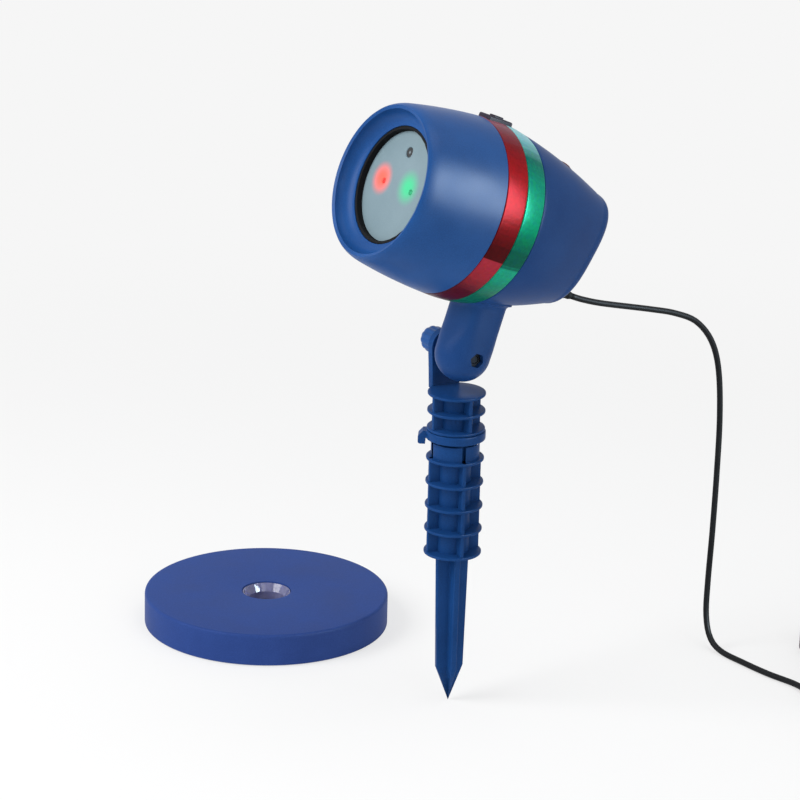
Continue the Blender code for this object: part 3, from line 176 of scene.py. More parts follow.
# Indoor base
BASE_PLACE = Vector((-174.2 * MM, -36.8 * MM, 0))
BASE_RADIUS = 82.0 * MM
BASE_HEIGHT = 22.0 * MM
BASE_WALL = 3.0 * MM
BASE_EDGE = 2.2 * MM
BASE_MOUTH_RADIUS = 16.4 * MM
BASE_UNDER = 0.8 * MM
LINER_BORE = 12.3 * MM
LINER_FLOOR = 3.6 * MM
LINER_TOP = 21.2 * MM
LINER_FUNNEL = 5.0 * MM

# Cord, coil and wall adapter
CORD_RADIUS = 2.0 * MM
BOOT_RADIUS = 4.6 * MM
BOOT_LENGTH = 20.0 * MM
BOOT_NECK_RADIUS = 3.6 * MM
BOOT_NECK_LENGTH = 5.0 * MM
BOOT_FLANGE = 2.5 * MM
BOOT_RIBS = 5
BOOT_BELOW_AXIS = 29.0 * MM
CORD_EXIT = 9.0 * MM
# The cord's way, in millimetres: from the boot, down to the ground, to the coil
CORD_ROUTE = [
    (0, 108, 251.5), (0, 146, 242.5), (0, 166, 237), (0, 183, 229), (0, 196, 214), (0, 203, 193),
    (0, 206, 160), (0, 206, 120), (0, 205, 80), (0, 203.5, 45), (2, 202, 22), (9, 201, 8), (22, 201, 2.6),
    (45, 203, 2.2), (68, 206, 2.2),
]
COIL_APPROACH = [(-30, 1, -1.2), (-12, 0, -0.2)]
COIL_PLACE = Vector((124 * MM, 240 * MM, 0))
COIL_LAYERS = 4
LOOPS_PER_LAYER = 3
COIL_INNER_RADIUS = 17.2 * MM
COIL_STEP = 4.45 * MM
COIL_CLIMB = 4.5 * MM
COIL_LOW = 3.8 * MM
ADAPTER_LEAD = 24.0 * MM
LOOP_POINTS = 48
ADAPTER_SIZE = Vector((46 * MM, 38 * MM, 27 * MM))
ADAPTER_BOOT_LENGTH = 14.0 * MM


def in_head(depth, right=0.0, up=0.0):
    """A place in the head's own frame, from the head's axis."""
    return Vector((right, depth - LIP_AHEAD_OF_PIVOT, AXIS_ABOVE_PIVOT + up))


HEAD = Matrix.Translation(PIVOT) @ Matrix.Rotation(-HEAD_PITCH, 4, "X")
REARWARD = Matrix.Rotation(-pi / 2, 4, "X")
AXIS = HEAD @ Matrix.Translation(in_head(0)) @ REARWARD
ALONG_X = Matrix.Translation(PIVOT) @ Matrix.Rotation(pi / 2, 4, "Y")


def linear(colour):
    """The linear levels of an sRGB hex colour."""
    levels = [int(colour[i:i + 2], 16) / 255 for i in (0, 2, 4)]
    return [v / 12.92 if v < 0.04045 else ((v + 0.055) / 1.055) ** 2.4 for v in levels] + [1.0]


def feed(made, inputs):
    """Gives a node its inputs. An input is a value, or another node's output to link."""
    for key, value in inputs.items():
        if isinstance(value, bpy.types.NodeSocket):
            made.id_data.links.new(value, made.inputs[key])
        else:
            made.inputs[key].default_value = value


def node(tree, kind, inputs, **settings):
    """Adds a node with its settings and its inputs."""
    made = tree.nodes.new(kind)
    for key, value in settings.items():
        setattr(made, key, value)
    feed(made, inputs)
    return made


def surface(name):
    """A new material: its tree, its shader, and its points in metres on the piece."""
    finish = bpy.data.materials.new(name)
    finish.use_nodes = True
    tree = finish.node_tree
    points = node(tree, "ShaderNodeTexCoord", {}).outputs["Object"]
    return finish, tree, tree.nodes["Principled BSDF"], points


def per_metre(size_mm):
    """The scale of a pattern whose grains are this many millimetres across."""
    return 1000 / size_mm


def sparked(tree, points, low, high, blotch, grain, detail=3.0):
    """Spark-eroded mould grain over broad flow blotches: its colour, its relief and its blotches."""
    flow = node(tree, "ShaderNodeTexNoise", {"Vector": points, "Scale": per_metre(blotch), "Detail": detail})
    speck = node(tree, "ShaderNodeTexNoise", {"Vector": points, "Scale": per_metre(grain), "Detail": 2.0})
    mixed = node(tree, "ShaderNodeMath", {0: flow.outputs["Fac"], 1: speck.outputs["Fac"]}, operation="ADD")
    share = node(tree, "ShaderNodeMapRange", {"Value": mixed.outputs[0], "From Min": 0.75, "From Max": 1.25})
    tint = node(tree, "ShaderNodeMix", {0: share.outputs[0], 6: linear(low), 7: linear(high)}, data_type="RGBA")
    relief = node(tree, "ShaderNodeBump", {"Height": speck.outputs["Fac"], "Strength": 0.05, "Distance": 0.2 * MM})
    return tint.outputs[2], relief.outputs[0], flow.outputs["Fac"]


def moulded(name, low, high, rough, shine=0.12):
    """Injection-moulded plastic: even colour with a fine grain, and a shine that varies a little."""
    finish, tree, shader, points = surface(name)
    tint, relief, flow = sparked(tree, points, low, high, 30.0, 0.7)
    polish = node(tree, "ShaderNodeMapRange", {
        "Value": flow, "From Min": 0.3, "From Max": 0.7, "To Min": rough - 0.05, "To Max": rough + 0.05,
    })
    feed(shader, {
        "Base Color": tint, "Roughness": polish.outputs[0], "Normal": relief, "IOR": 1.5, "Specular IOR Level": shine,
    })
    return finish


def rippled(tree, points, across, detail, low, high):
    """A soft pattern with grains this many millimetres across: its level, and the colour it gives."""
    grain = node(tree, "ShaderNodeTexNoise", {"Vector": points, "Scale": per_metre(across), "Detail": detail})
    level = grain.outputs["Fac"]
    tint = node(tree, "ShaderNodeMix", {0: level, 6: linear(low), 7: linear(high)}, data_type="RGBA")
    return level, tint.outputs[2]


def metal(name, low, high, rough):
    """Bare metal with fine tool marks, drawn out along one direction."""
    finish, tree, shader, points = surface(name)
    spread = node(tree, "ShaderNodeMapping", {"Vector": points, "Scale": (1.0, 1.0, 0.08)})
    level, tint = rippled(tree, spread.outputs[0], 0.5, 3.0, low, high)
    polish = node(tree, "ShaderNodeMapRange", {"Value": level, "To Min": rough - 0.08, "To Max": rough + 0.08})
    relief = node(tree, "ShaderNodeBump", {"Height": level, "Strength": 0.1, "Distance": 0.1 * MM})
    feed(shader, {
        "Base Color": tint, "Roughness": polish.outputs[0], "Normal": relief.outputs[0], "Metallic": 1.0,
    })
    return finish


# Shell: the brightest blue, smooth enough for one broad soft gleam. Tail and stake: darker copies of the shell's blue
# as painted shade, and flatter. Base: deeper and flatter.
shell_blue = moulded("satin_blue_abs_shell", "14427c", "1a4c8a", 0.38, 0.14)
# Painted shade: the tail's and the stake's blues are darker than the shell's.
tail_blue_painted_shade = moulded("satin_blue_abs_tail_painted_shade", "183a6e", "1e4278", 0.4, 0.06)
stake_blue_painted_shade = moulded("blue_abs_stake_painted_shade", "13386a", "19427a", 0.36, 0.05)
base_blue = moulded("blue_abs_base", "283f7a", "2e4786", 0.5, 0.05)
# Blacks: neutral on the adapter and inside, a hint of violet on the switch, dark red on the button
black_abs = moulded("black_abs", "141315", "1f1c20", 0.42)
switch_black = moulded("black_abs_switch", "241f2b", "2f2936", 0.45)
button_red = moulded("dark_red_abs_button", "43151c", "561c26", 0.4)
# Cord and rubber: nearly black, the cord with a dull sheen and the rubber with none
black_pvc = moulded("black_pvc_cord", "0c0e10", "16181b", 0.45)
soft_black = moulded("black_rubber", "0e0f10", "17181a", 0.7)
# Board lacquer, glossy green, and milky white gears
solder_mask = moulded("green_solder_mask", "14502c", "1f6a3d", 0.35)
white_acetal = moulded("white_acetal_gears", "cfcfc8", "dededa", 0.4)
# Metals: each keeps a soft glint drawn out by its tool marks
brass = metal("turned_brass_modules", "a8853f", "c09a55", 0.32)
steel = metal("zinc_plated_steel", "8c9094", "a6a9ad", 0.34)
black_oxide = metal("black_oxide_steel", "141518", "232529", 0.42)
alloy = metal("turned_aluminium", "9da0a5", "b6b9bd", 0.36)


def foil_band_painted_reflection(name, stops):
    """Clear tinted plastic over metal foil: streaks along the head, and painted reflections of the lamps set by the
    angle round the head: pale at the top, bright about a third of the way round, dark at the side, with a sharp step up
    to a lighter stretch low on each side.

    The stops of the painted reflection run from the top down either side, in half turns.
    """
    finish, tree, shader, points = surface(name)
    moved = node(tree, "ShaderNodeMapping", {"Vector": points, "Location": tuple(-PIVOT)})
    level = node(tree, "ShaderNodeMapping", {"Vector": moved.outputs[0], "Rotation": (HEAD_PITCH, 0, 0)})
    parts = node(tree, "ShaderNodeSeparateXYZ", {"Vector": level.outputs[0]})
    above = node(tree, "ShaderNodeMath", {0: parts.outputs["Z"], 1: AXIS_ABOVE_PIVOT}, operation="SUBTRACT")
    angle = node(tree, "ShaderNodeMath", {0: parts.outputs["X"], 1: above.outputs[0]}, operation="ARCTAN2")
    either = node(tree, "ShaderNodeMath", {0: angle.outputs[0]}, operation="ABSOLUTE")
    share = node(tree, "ShaderNodeMath", {0: either.outputs[0], 1: pi}, operation="DIVIDE")
    round_head = node(tree, "ShaderNodeCombineXYZ", {"X": share.outputs[0]})
    streak = node(tree, "ShaderNodeTexNoise", {"Vector": round_head.outputs[0], "Scale": 60.0, "Detail": 4.0})
    cells = node(tree, "ShaderNodeTexVoronoi", {"Vector": level.outputs[0], "Scale": per_metre(1.6)})
    wander = node(tree, "ShaderNodeMapRange", {
        "Value": streak.outputs["Fac"], "From Min": 0.25, "From Max": 0.75, "To Min": -0.02, "To Max": 0.02,
    })
    place = node(tree, "ShaderNodeMath", {0: share.outputs[0], 1: wander.outputs[0]}, operation="ADD")
    # Colour by angle round the head, from the stops: this is the painted reflection.
    ramp = node(tree, "ShaderNodeValToRGB", {"Fac": place.outputs[0]})
    ramp.color_ramp.elements[1].position = 1.0
    for position, _ in stops[1:-1]:
        ramp.color_ramp.elements.new(position)
    for stop, (_, colour) in zip(ramp.color_ramp.elements, stops):
        stop.color = linear(colour)
    sparkle = node(
        tree, "ShaderNodeMix",
        {0: 0.15, 6: ramp.outputs["Color"], 7: cells.outputs["Color"]}, data_type="RGBA", blend_type="SOFT_LIGHT",
    )
    relief = node(
        tree, "ShaderNodeBump", {"Height": cells.outputs["Distance"], "Strength": 0.12, "Distance": 0.3 * MM},
    )
    feed(shader, {
        "Base Color": sparkle.outputs[2], "Normal": relief.outputs[0], "Metallic": 0.1, "Roughness": 0.3,
        "Specular IOR Level": 0.04,
    })
    return finish


# Painted reflections: pale at the top, a bright band a third of the way round, dark at the side, a sharp step up low on
# each side.
red_foil = foil_band_painted_reflection("red_tinted_foil_band", (
    (0.0, "a06072"), (0.09, "703846"), (0.20, "74121a"), (0.28, "90141a"), (0.37, "a0161e"), (0.46, "90141a"),
    (0.57, "480c10"), (0.622, "480c10"), (0.628, "a02c3a"), (0.71, "8c2430"), (0.78, "501020"), (1.0, "40101c"),
))
green_foil = foil_band_painted_reflection("green_tinted_foil_band", (
    (0.0, "90c8d0"), (0.12, "78bac2"), (0.23, "046c5c"), (0.31, "0c8a70"), (0.38, "149c78"), (0.47, "00946c"),
    (0.57, "085848"), (0.632, "085848"), (0.638, "1c9c7c"), (0.71, "0c866a"), (0.78, "0a6450"), (1.0, "0a5848"),
))


def clear(name, colour, rough):
    """Clear moulded plastic, with faint mould ripple."""
    finish, tree, shader, points = surface(name)
    level, tint = rippled(tree, points, 6.0, 2.0, colour, "b4b4dc")
    relief = node(tree, "ShaderNodeBump", {"Height": level, "Strength": 0.15, "Distance": 0.3 * MM})
    feed(shader, {
        "Base Color": tint, "Normal": relief.outputs[0], "Roughness": rough, "Transmission Weight": 0.5, "IOR": 1.49,
    })
    return finish


window_clear = clear("clear_acrylic_window", "c8d2d6", 0.05)
liner_clear = clear("clear_acrylic_liner", "4c5490", 0.1)


def near(tree, points, centre, inner, outer):
    """One within a distance of a place, fading to nothing at a larger one."""
    apart = node(tree, "ShaderNodeVectorMath", {0: points, 1: tuple(centre)}, operation="DISTANCE")
    return node(
        tree, "ShaderNodeMapRange",
        {"Value": apart.outputs["Value"], "From Min": inner, "From Max": outer, "To Min": 1.0, "To Max": 0.0},
        interpolation_type="SMOOTHSTEP",
    ).outputs[0]


def lit_window(name, colour, core):
    """Acrylic window over a laser that is on: the beam lights the window, with a fine mottle."""
    finish, tree, shader, points = surface(name)
    _, tint = rippled(tree, points, 0.8, 1.0, colour, core)
    feed(shader, {"Base Color": tint, "Emission Color": tint, "Emission Strength": 0.4, "Roughness": 0.1})
    return finish


red_lit = lit_window("red_lit_acrylic", "a01410", "d02a20")
green_lit = lit_window("green_lit_acrylic", "0c7a52", "16a068")


def lit_plate():
    """Matt grey ABS plate: fine grain, and the soft red and green spill of the beams round their holes."""
    finish, tree, shader, points = surface("grey_abs_face_plate")
    tint, relief, _ = sparked(tree, points, "6c828b", "758b94", 25.0, 0.5, 2.0)
    glow = linear("000000")
    for right, up, colour, reach in (
        (-BEAM_X - 2.5 * MM, 1.0 * MM, "ff5a48", 12.0 * MM), (BEAM_X - 4 * MM, 2.0 * MM, "30b47c", 13.0 * MM),
    ):
        spill = near(tree, points, HEAD @ in_head(PLATE_FRONT, right, up), 1.5 * MM, reach)
        tint = node(tree, "ShaderNodeMix", {0: spill, 6: tint, 7: linear(colour)}, data_type="RGBA").outputs[2]
        glow = node(tree, "ShaderNodeMix", {0: spill, 6: glow, 7: linear(colour)}, data_type="RGBA").outputs[2]
    feed(shader, {
        "Base Color": tint, "Emission Color": glow, "Normal": relief, "Emission Strength": 0.3, "Roughness": 0.5,
    })
    return finish


def smoked_window():
    """Smoked acrylic over the light cell: dark, and paler in a small patch at its middle."""
    finish, tree, shader, points = surface("smoked_acrylic_sensor_window")
    cell = near(tree, points, HEAD @ in_head(PLATE_FRONT, 0, SENSOR_HEIGHT), 0.4 * MM, 1.3 * MM)
    _, dark = rippled(tree, points, 1.0, 1.0, "14181b", "22282c")
    tint = node(tree, "ShaderNodeMix", {0: cell, 6: dark, 7: linear("7a868c")}, data_type="RGBA")
    feed(shader, {"Base Color": tint.outputs[2], "Roughness": 0.12})
    return finish


face_grey = lit_plate()
smoked = smoked_window()

# The finish of each CAD piece, and of the piece that stands for it
finish_of = {}
for finish, names in (
    (shell_blue, "front_shell clamp_knob"), (tail_blue_painted_shade, "rear_shell"), (stake_blue_painted_shade, "stem ground_stake lock_collar"),
    (base_blue, "base_shell"), (red_foil, "red_band"), (green_foil, "green_band"), (face_grey, "face_plate"),
    (red_lit, "red_window"), (green_lit, "green_window"), (smoked, "sensor_window"), (liner_clear, "base_liner"),
    (switch_black, "switch_housing mode_slider"), (button_red, "button_ring rear_button"),
    (black_pvc, "power_cord cord_coil"), (black_abs, "light_sensor optics_chassis base_cover adapter_case"),
    (soft_black, "face_seal cord_boot adapter_boot coil_tie base_foot_1 base_foot_2 base_foot_3 base_foot_4"),
    (brass, "red_laser_module green_laser_module"), (alloy, "red_heat_sink green_heat_sink"),
    (white_acetal, "motor_pinion red_grating_wheel green_grating_wheel"), (solder_mask, "circuit_board"),
    (window_clear, "red_grating green_grating"), (black_oxide, "clamp_bolt clamp_nut"),
    (steel, "grating_motor clamp_washer base_weight adapter_blade_1 adapter_blade_2"),
    (steel, "chassis_screw_1 chassis_screw_2 chassis_screw_3"),
):
    for name in names.split():
        finish_of[name] = finish
        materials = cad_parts[name].data.materials
        for number in range(len(materials)):
            materials[number] = finish
        if not materials:
            materials.append(finish)


def placed(name, mesh):
    """An object in the scene, made from a mesh that is used up."""
    data = bpy.data.meshes.new(name)
    mesh.to_mesh(data)
    mesh.free()
    thing = bpy.data.objects.new(name, data)
    bpy.context.scene.collection.objects.link(thing)
    return thing


def piece(name, stands_for, mesh, body, place=Matrix.Identity(4), sharp=35):
    """A finished piece with its place in its mesh, riding on its body for a CAD piece."""
    mesh.transform(place)
    bmesh.ops.recalc_face_normals(mesh, faces=mesh.faces)
    thing = placed(name, mesh)
    thing.data.shade_smooth()
    thing.data.set_sharp_from_angle(angle=radians(sharp))
    thing.data.materials.clear()
    thing.data.materials.append(finish_of[stands_for])
    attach(thing, body)
    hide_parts(stands_for)
    return thing


def worked(bench):
    """The mesh of the first object after its modifiers. The bench is cleared."""
    depsgraph = bpy.context.evaluated_depsgraph_get()
    data = bpy.data.meshes.new_from_object(bench[0].evaluated_get(depsgraph))
    made = bmesh.new()
    made.from_mesh(data)
    bpy.data.meshes.remove(data)
    bench[0].modifiers.clear()
    for thing in bench:
        data = thing.data
        bpy.data.objects.remove(thing)
        bpy.data.meshes.remove(data)
    return made


def carved(mesh, tools, operation="DIFFERENCE"):
    """The mesh after an exact cut or join with each tool."""
    bench = []
    for number, form in enumerate((mesh, *tools)):
        bmesh.ops.recalc_face_normals(form, faces=form.faces)
        bench.append(placed(f"bench_{number}", form))
    for tool in bench[1:]:
        step = bench[0].modifiers.new(tool.name, "BOOLEAN")
        step.operation = operation
        step.solver = "EXACT"
        step.object = tool
    return worked(bench)


def skinned(rings, joined=False):
    """A closed skin over rings of points. A ring of one point is a pole."""
    mesh = bmesh.new()
    rows = [[mesh.verts.new(point) for point in ring] for ring in rings]
    pairs = list(zip(rows, rows[1:]))
    if joined:
        pairs.append((rows[-1], rows[0]))
    for low, high in pairs:
        count = max(len(low), len(high))
        for i in range(count):
            j = (i + 1) % count
            corners = [low[i % len(low)], low[j % len(low)], high[j % len(high)], high[i % len(high)]]
            face = list(dict.fromkeys(corners))
            if len(face) > 2:
                mesh.faces.new(face)
    if not joined:
        for row in (rows[0], rows[-1]):
            if len(row) > 2:
                mesh.faces.new(row)
    return mesh


def spot(radius, turn, height):
    """A point round Z."""
    return Vector((radius * cos(turn), radius * sin(turn), height))


def circle(radius, height, count, start=0.0):
    """Points round Z, or the pole if the radius is nothing."""
    if radius <= 0:
        return [Vector((0, 0, height))]
    return [spot(radius, start + 2 * pi * i / count, height) for i in range(count)]


def squarish(value, power):
    """A sine or cosine drawn towards the corners of a square, for a rounded square."""
    return copysign(abs(value) ** power, value)


def turned(profile, count=64):
    """A body turned about Z from (radius, height) points. Its flat ends are single faces."""
    joined = profile[0][0] > 0 and profile[-1][0] > 0
    if profile[0][0] <= 0 and profile[0][1] == profile[1][1]:
        profile = profile[1:]
    if profile[-1][0] <= 0 and profile[-1][1] == profile[-2][1]:
        profile = profile[:-1]
    return skinned([circle(radius, height, count) for radius, height in profile], joined)


def rod(radius, low, high, count=48):
    """A plain round bar along Z."""
    return turned([(0, low), (radius, low), (radius, high), (0, high)], count)


def eased(corners, steps=5):
    """A profile with rounded corners. Each corner is (across, along, rounding)."""
    out = []
    for i, (across, along, rounding) in enumerate(corners):
        here = Vector((across, along))
        if not rounding:
            out.append((across, along))
            continue
        before = Vector(corners[i - 1][:2]) - here
        after = Vector(corners[(i + 1) % len(corners)][:2]) - here
        reach = min(rounding / tan(before.angle(after) / 2), before.length * 0.49, after.length * 0.49)
        start = here + before.normalized() * reach
        end = here + after.normalized() * reach
        for step in range(steps + 1):
            t = step / steps
            out.append(tuple(start * (1 - t) ** 2 + here * 2 * t * (1 - t) + end * t * t))
    return out


def slab(outline, low, high, soft=0.0):
    """An outline in the XY plane, extruded along Z, with both rims rounded."""
    mesh = skinned([[Vector((x, y, z)) for x, y in outline] for z in (low, high)])
    if soft:
        rims = [edge for edge in mesh.edges if abs(edge.verts[0].co.z - edge.verts[1].co.z) < MM / 100]
        bmesh.ops.bevel(mesh, geom=rims, offset=soft, segments=3, affect="EDGES", profile=0.5)
    return mesh


def block(size, centre=(0, 0, 0), soft=0.0):
    """A box with rounded edges."""
    mesh = bmesh.new()
    bmesh.ops.create_cube(mesh, size=1)
    bmesh.ops.scale(mesh, vec=size, verts=mesh.verts)
    if soft:
        bmesh.ops.bevel(mesh, geom=mesh.edges[:], offset=soft, segments=4, affect="EDGES", profile=0.5)
    bmesh.ops.translate(mesh, vec=centre, verts=mesh.verts)
    return mesh


def cross(radius, thickness, soft):
    """The outline of two webs that cross, their outer corners rounded."""
    half = thickness / 2
    corners = []
    for quarter in range(4):
        turn = Matrix.Rotation(quarter * pi / 2, 2)
        for corner, rounding in (((radius, -half), soft), ((radius, half), soft), ((half, half), soft)):
            corners.append((*(turn @ Vector(corner)), rounding))
    return eased(corners, 3)


def skin_radius(depth):
    """The head's outer radius at a depth behind the lip."""
    if depth < CREST_DEPTH:
        share = (CREST_DEPTH - depth) / CREST_DEPTH
        return CREST_RADIUS - (CREST_RADIUS - LIP_RADIUS) * share ** FRONT_CURVE
    share = (depth - CREST_DEPTH) / (TAIL_EDGE - CREST_DEPTH)
    return CREST_RADIUS - (CREST_RADIUS - TAIL_RADIUS) * share ** TAIL_CURVE


def tail_share(depth):
    """How far along the tail a depth is, from nothing to one."""
    return min(1.0, max(0.0, (depth - TAIL_START) / (TAIL_END - TAIL_START)))


def tail_point(depth, radius, turn):
    """A point of the tail in the head's frame: towards the end the rings lean, drop, narrow and grow squarer."""
    share = tail_share(depth)
    lean = TAIL_TILT * share
    power = 2 / (2 + (TAIL_SQUARENESS - 2) * share)
    up = radius * squarish(sin(turn), power)
    wide = radius * (1 - (1 - TAIL_WIDTH_SHARE) * share ** TAIL_NARROWING)
    right = squarish(cos(turn), power) * wide
    return in_head(depth + up * sin(lean), right, up * cos(lean) - TAIL_DROP * share)


def tail_ring(depth, radius):
    """A ring of the tail, or its pole if the radius is nothing."""
    if radius <= 0:
        return [tail_point(depth, 0, 0)]
    return [tail_point(depth, radius, 2 * pi * i / FINE) for i in range(FINE)]


def front_moulding():
    """The front shell: a softly rounded lip, the concave bezel, and three screw bosses behind it."""
    front_end = FRONT_LENGTH - GAP / 2
    outside = []
    for i in range(41):
        depth = front_end + (0.06 * MM - front_end) * (i / 40) ** 0.8
        drop = max(0.0, (LIP_FALL - depth) / LIP_FALL)
        outside.append((skin_radius(depth) - LIP_TURN_IN * (1 - sqrt(1 - drop * drop)), depth))
    outside[0] = (outside[0][0] - 0.3 * MM, outside[0][1])
    outside.insert(1, (skin_radius(front_end - 0.4 * MM), front_end - 0.4 * MM))
    mouth = LIP_RADIUS - LIP_WALL
    edge = (outside[-1][0], 0.0)
    rim = [edge]
    for i in range(1, 7):
        turn = pi / 2 * i / 7
        rim.append((mouth + 0.2 * MM + (edge[0] - mouth - 0.2 * MM) * cos(turn), 0.75 * MM * (1 - cos(turn))))
    bowl = []
    for i in range(25):
        turn = radians(5 + 85 * i / 24)
        bowl.append((mouth - (mouth - BEZEL_RADIUS) * (1 - cos(turn)), BEZEL_DEPTH * sin(turn)))
    back = [(BEZEL_RADIUS, PLATE_BACK), (BEZEL_RADIUS + BEZEL_SEAT, PLATE_BACK)]
    back += [(mouth + 1.4 * MM, BEZEL_DEPTH * 0.62), (skin_radius(PLATE_BACK) - SHELL_WALL, PLATE_BACK)]
    stop = front_end - SPIGOT_LAP - GAP
    inside = [(skin_radius(depth) - SHELL_WALL, depth) for depth in (25 * MM, 36 * MM, stop)]
    inside += [(SPIGOT_RADIUS + GAP, stop), (SPIGOT_RADIUS + GAP, front_end)]
    shell = turned(outside + rim + bowl + back + inside, FINE)
    bosses = []
    holes = []
    for angle in [radians(turn) for turn in (60, 180, 300)]:
        for forms, form in (
            (bosses, rod(BOSS_RADIUS, BEZEL_DEPTH - GAP, CHASSIS_FRONT - GAP, 24)),
            (holes, rod(BOSS_BORE, PLATE_BACK + BOSS_RADIUS / 2, CHASSIS_FRONT + MM, 16)),
        ):
            bmesh.ops.translate(form, vec=(BOSS_RING * sin(angle), -BOSS_RING * cos(angle), 0), verts=form.verts)
            forms.append(form)
    return carved(carved(shell, bosses, "UNION"), holes)


def switch_pocket():
    """The pocket for the mode switch, in the head's frame."""
    middle = in_head(FRONT_LENGTH + SWITCH_START + SWITCH_LENGTH / 2, 0, SWITCH_TOP)
    return block((SWITCH_WIDTH + 2 * GAP, SWITCH_LENGTH + 2 * GAP, 2 * SWITCH_DEPTH), middle)


def band(start):
    """A foil band's ring, a little crowned, its edges rounded."""
    low = start + GAP / 2
    high = start + BAND_LENGTH - GAP / 2
    crown = []
    for i in range(1, 10):
        t = i / 10
        depth = low + (high - low) * t
        crown.append((skin_radius(depth) + BAND_CROWN * (1 - (2 * t - 1) ** 2), depth, 0))
    ring = eased([
        (SPIGOT_RADIUS + GAP, low, 0), (skin_radius(low), low, 0.6 * MM), *crown,
        (skin_radius(high), high, 0.6 * MM), (SPIGOT_RADIUS + GAP, high, 0),
    ], 4)
    form = turned(ring, FINE)
    form.transform(Matrix.Translation(in_head(0)) @ REARWARD)
    return carved(form, [switch_pocket()])


def button_seat():
    """Place of the rear button in the head's frame, square to the tail's top."""
    depth = TAIL_START + BUTTON_BACK
    low, place, high = [tail_point(d, skin_radius(d), pi / 2) for d in (depth - MM, depth, depth + MM)]
    along = (high - low).normalized()
    return Matrix.Translation(place) @ Matrix.Rotation(-atan2(-along.z, along.y), 4, "X")


BOOT_SEAT = Matrix.Translation(tail_point(TAIL_END, BOOT_BELOW_AXIS, -pi / 2)) @ REARWARD


def tail_underside(x, y):
    """Height of the tail's lower skin over a place, in the head's frame."""
    depth = y + LIP_AHEAD_OF_PIVOT
    nominal = depth
    for _ in range(3):
        nominal = depth + skin_radius(nominal) * sin(TAIL_TILT * tail_share(nominal))
    share = tail_share(nominal)
    radius = skin_radius(nominal)
    wide = radius * (1 - (1 - TAIL_WIDTH_SHARE) * share ** TAIL_NARROWING)
    power = 2 + (TAIL_SQUARENESS - 2) * share
    up = radius * (1 - min(1.0, abs(x) / wide) ** power) ** (1 / power)
    return AXIS_ABOVE_PIVOT - up * cos(TAIL_TILT * share) - TAIL_DROP * share


def clamp_arm():
    """The clamp arm in the head's frame: a ball about the hinge line, a rounded column, a foot flared into the tail."""
    count = 96
    rings = [[Vector((BALL_MIDDLE, 0, -BALL_RADIUS))]]
    for i in range(1, 18):
        turn = pi / 2 * i / 18
        reach = BALL_RADIUS * sin(turn)
        height = -BALL_RADIUS * cos(turn)
        rings.append([
            Vector((BALL_MIDDLE + reach * cos(2 * pi * k / count), reach * sin(2 * pi * k / count), height))
            for k in range(count)
        ])
    steps = 44
    for i in range(steps + 1):
        up = ARM_TOP * i / steps
        t = min(1.0, up / COLUMN_START)
        t = t * t * (3 - 2 * t)
        power = 2 / (2 + (COLUMN_SQUARENESS - 2) * t)
        deep = BALL_RADIUS + (COLUMN_HALF_DEPTH - BALL_RADIUS) * t
        ring = []
        for k in range(count):
            turn = 2 * pi * k / count
            across = squarish(cos(turn), power) * BALL_RADIUS
            back = squarish(sin(turn), power) * deep
            ring.append(Vector((BALL_MIDDLE + across, back - COLUMN_LEAN * up, up)))
        rings.append(ring)
    mesh = skinned(rings)
    bmesh.ops.recalc_face_normals(mesh, faces=mesh.faces)
    mesh.normal_update()
    moves = []
    for vert in mesh.verts:
        away = Vector((vert.normal.x, vert.normal.y, 0))
        below = max(0.0, tail_underside(vert.co.x, vert.co.y) - vert.co.z)
        if 0 < vert.co.z < ARM_TOP - MM / 2 and away.length > 0.5 and below < ARM_FLARE:
            lift = (ARM_FLARE - below) / ARM_FLARE
            moves.append((vert, away.normalized() * ARM_FLARE * (1 - sqrt(1 - lift * lift)) * 0.9))
    for vert, move in moves:
        vert.co += move
    return mesh


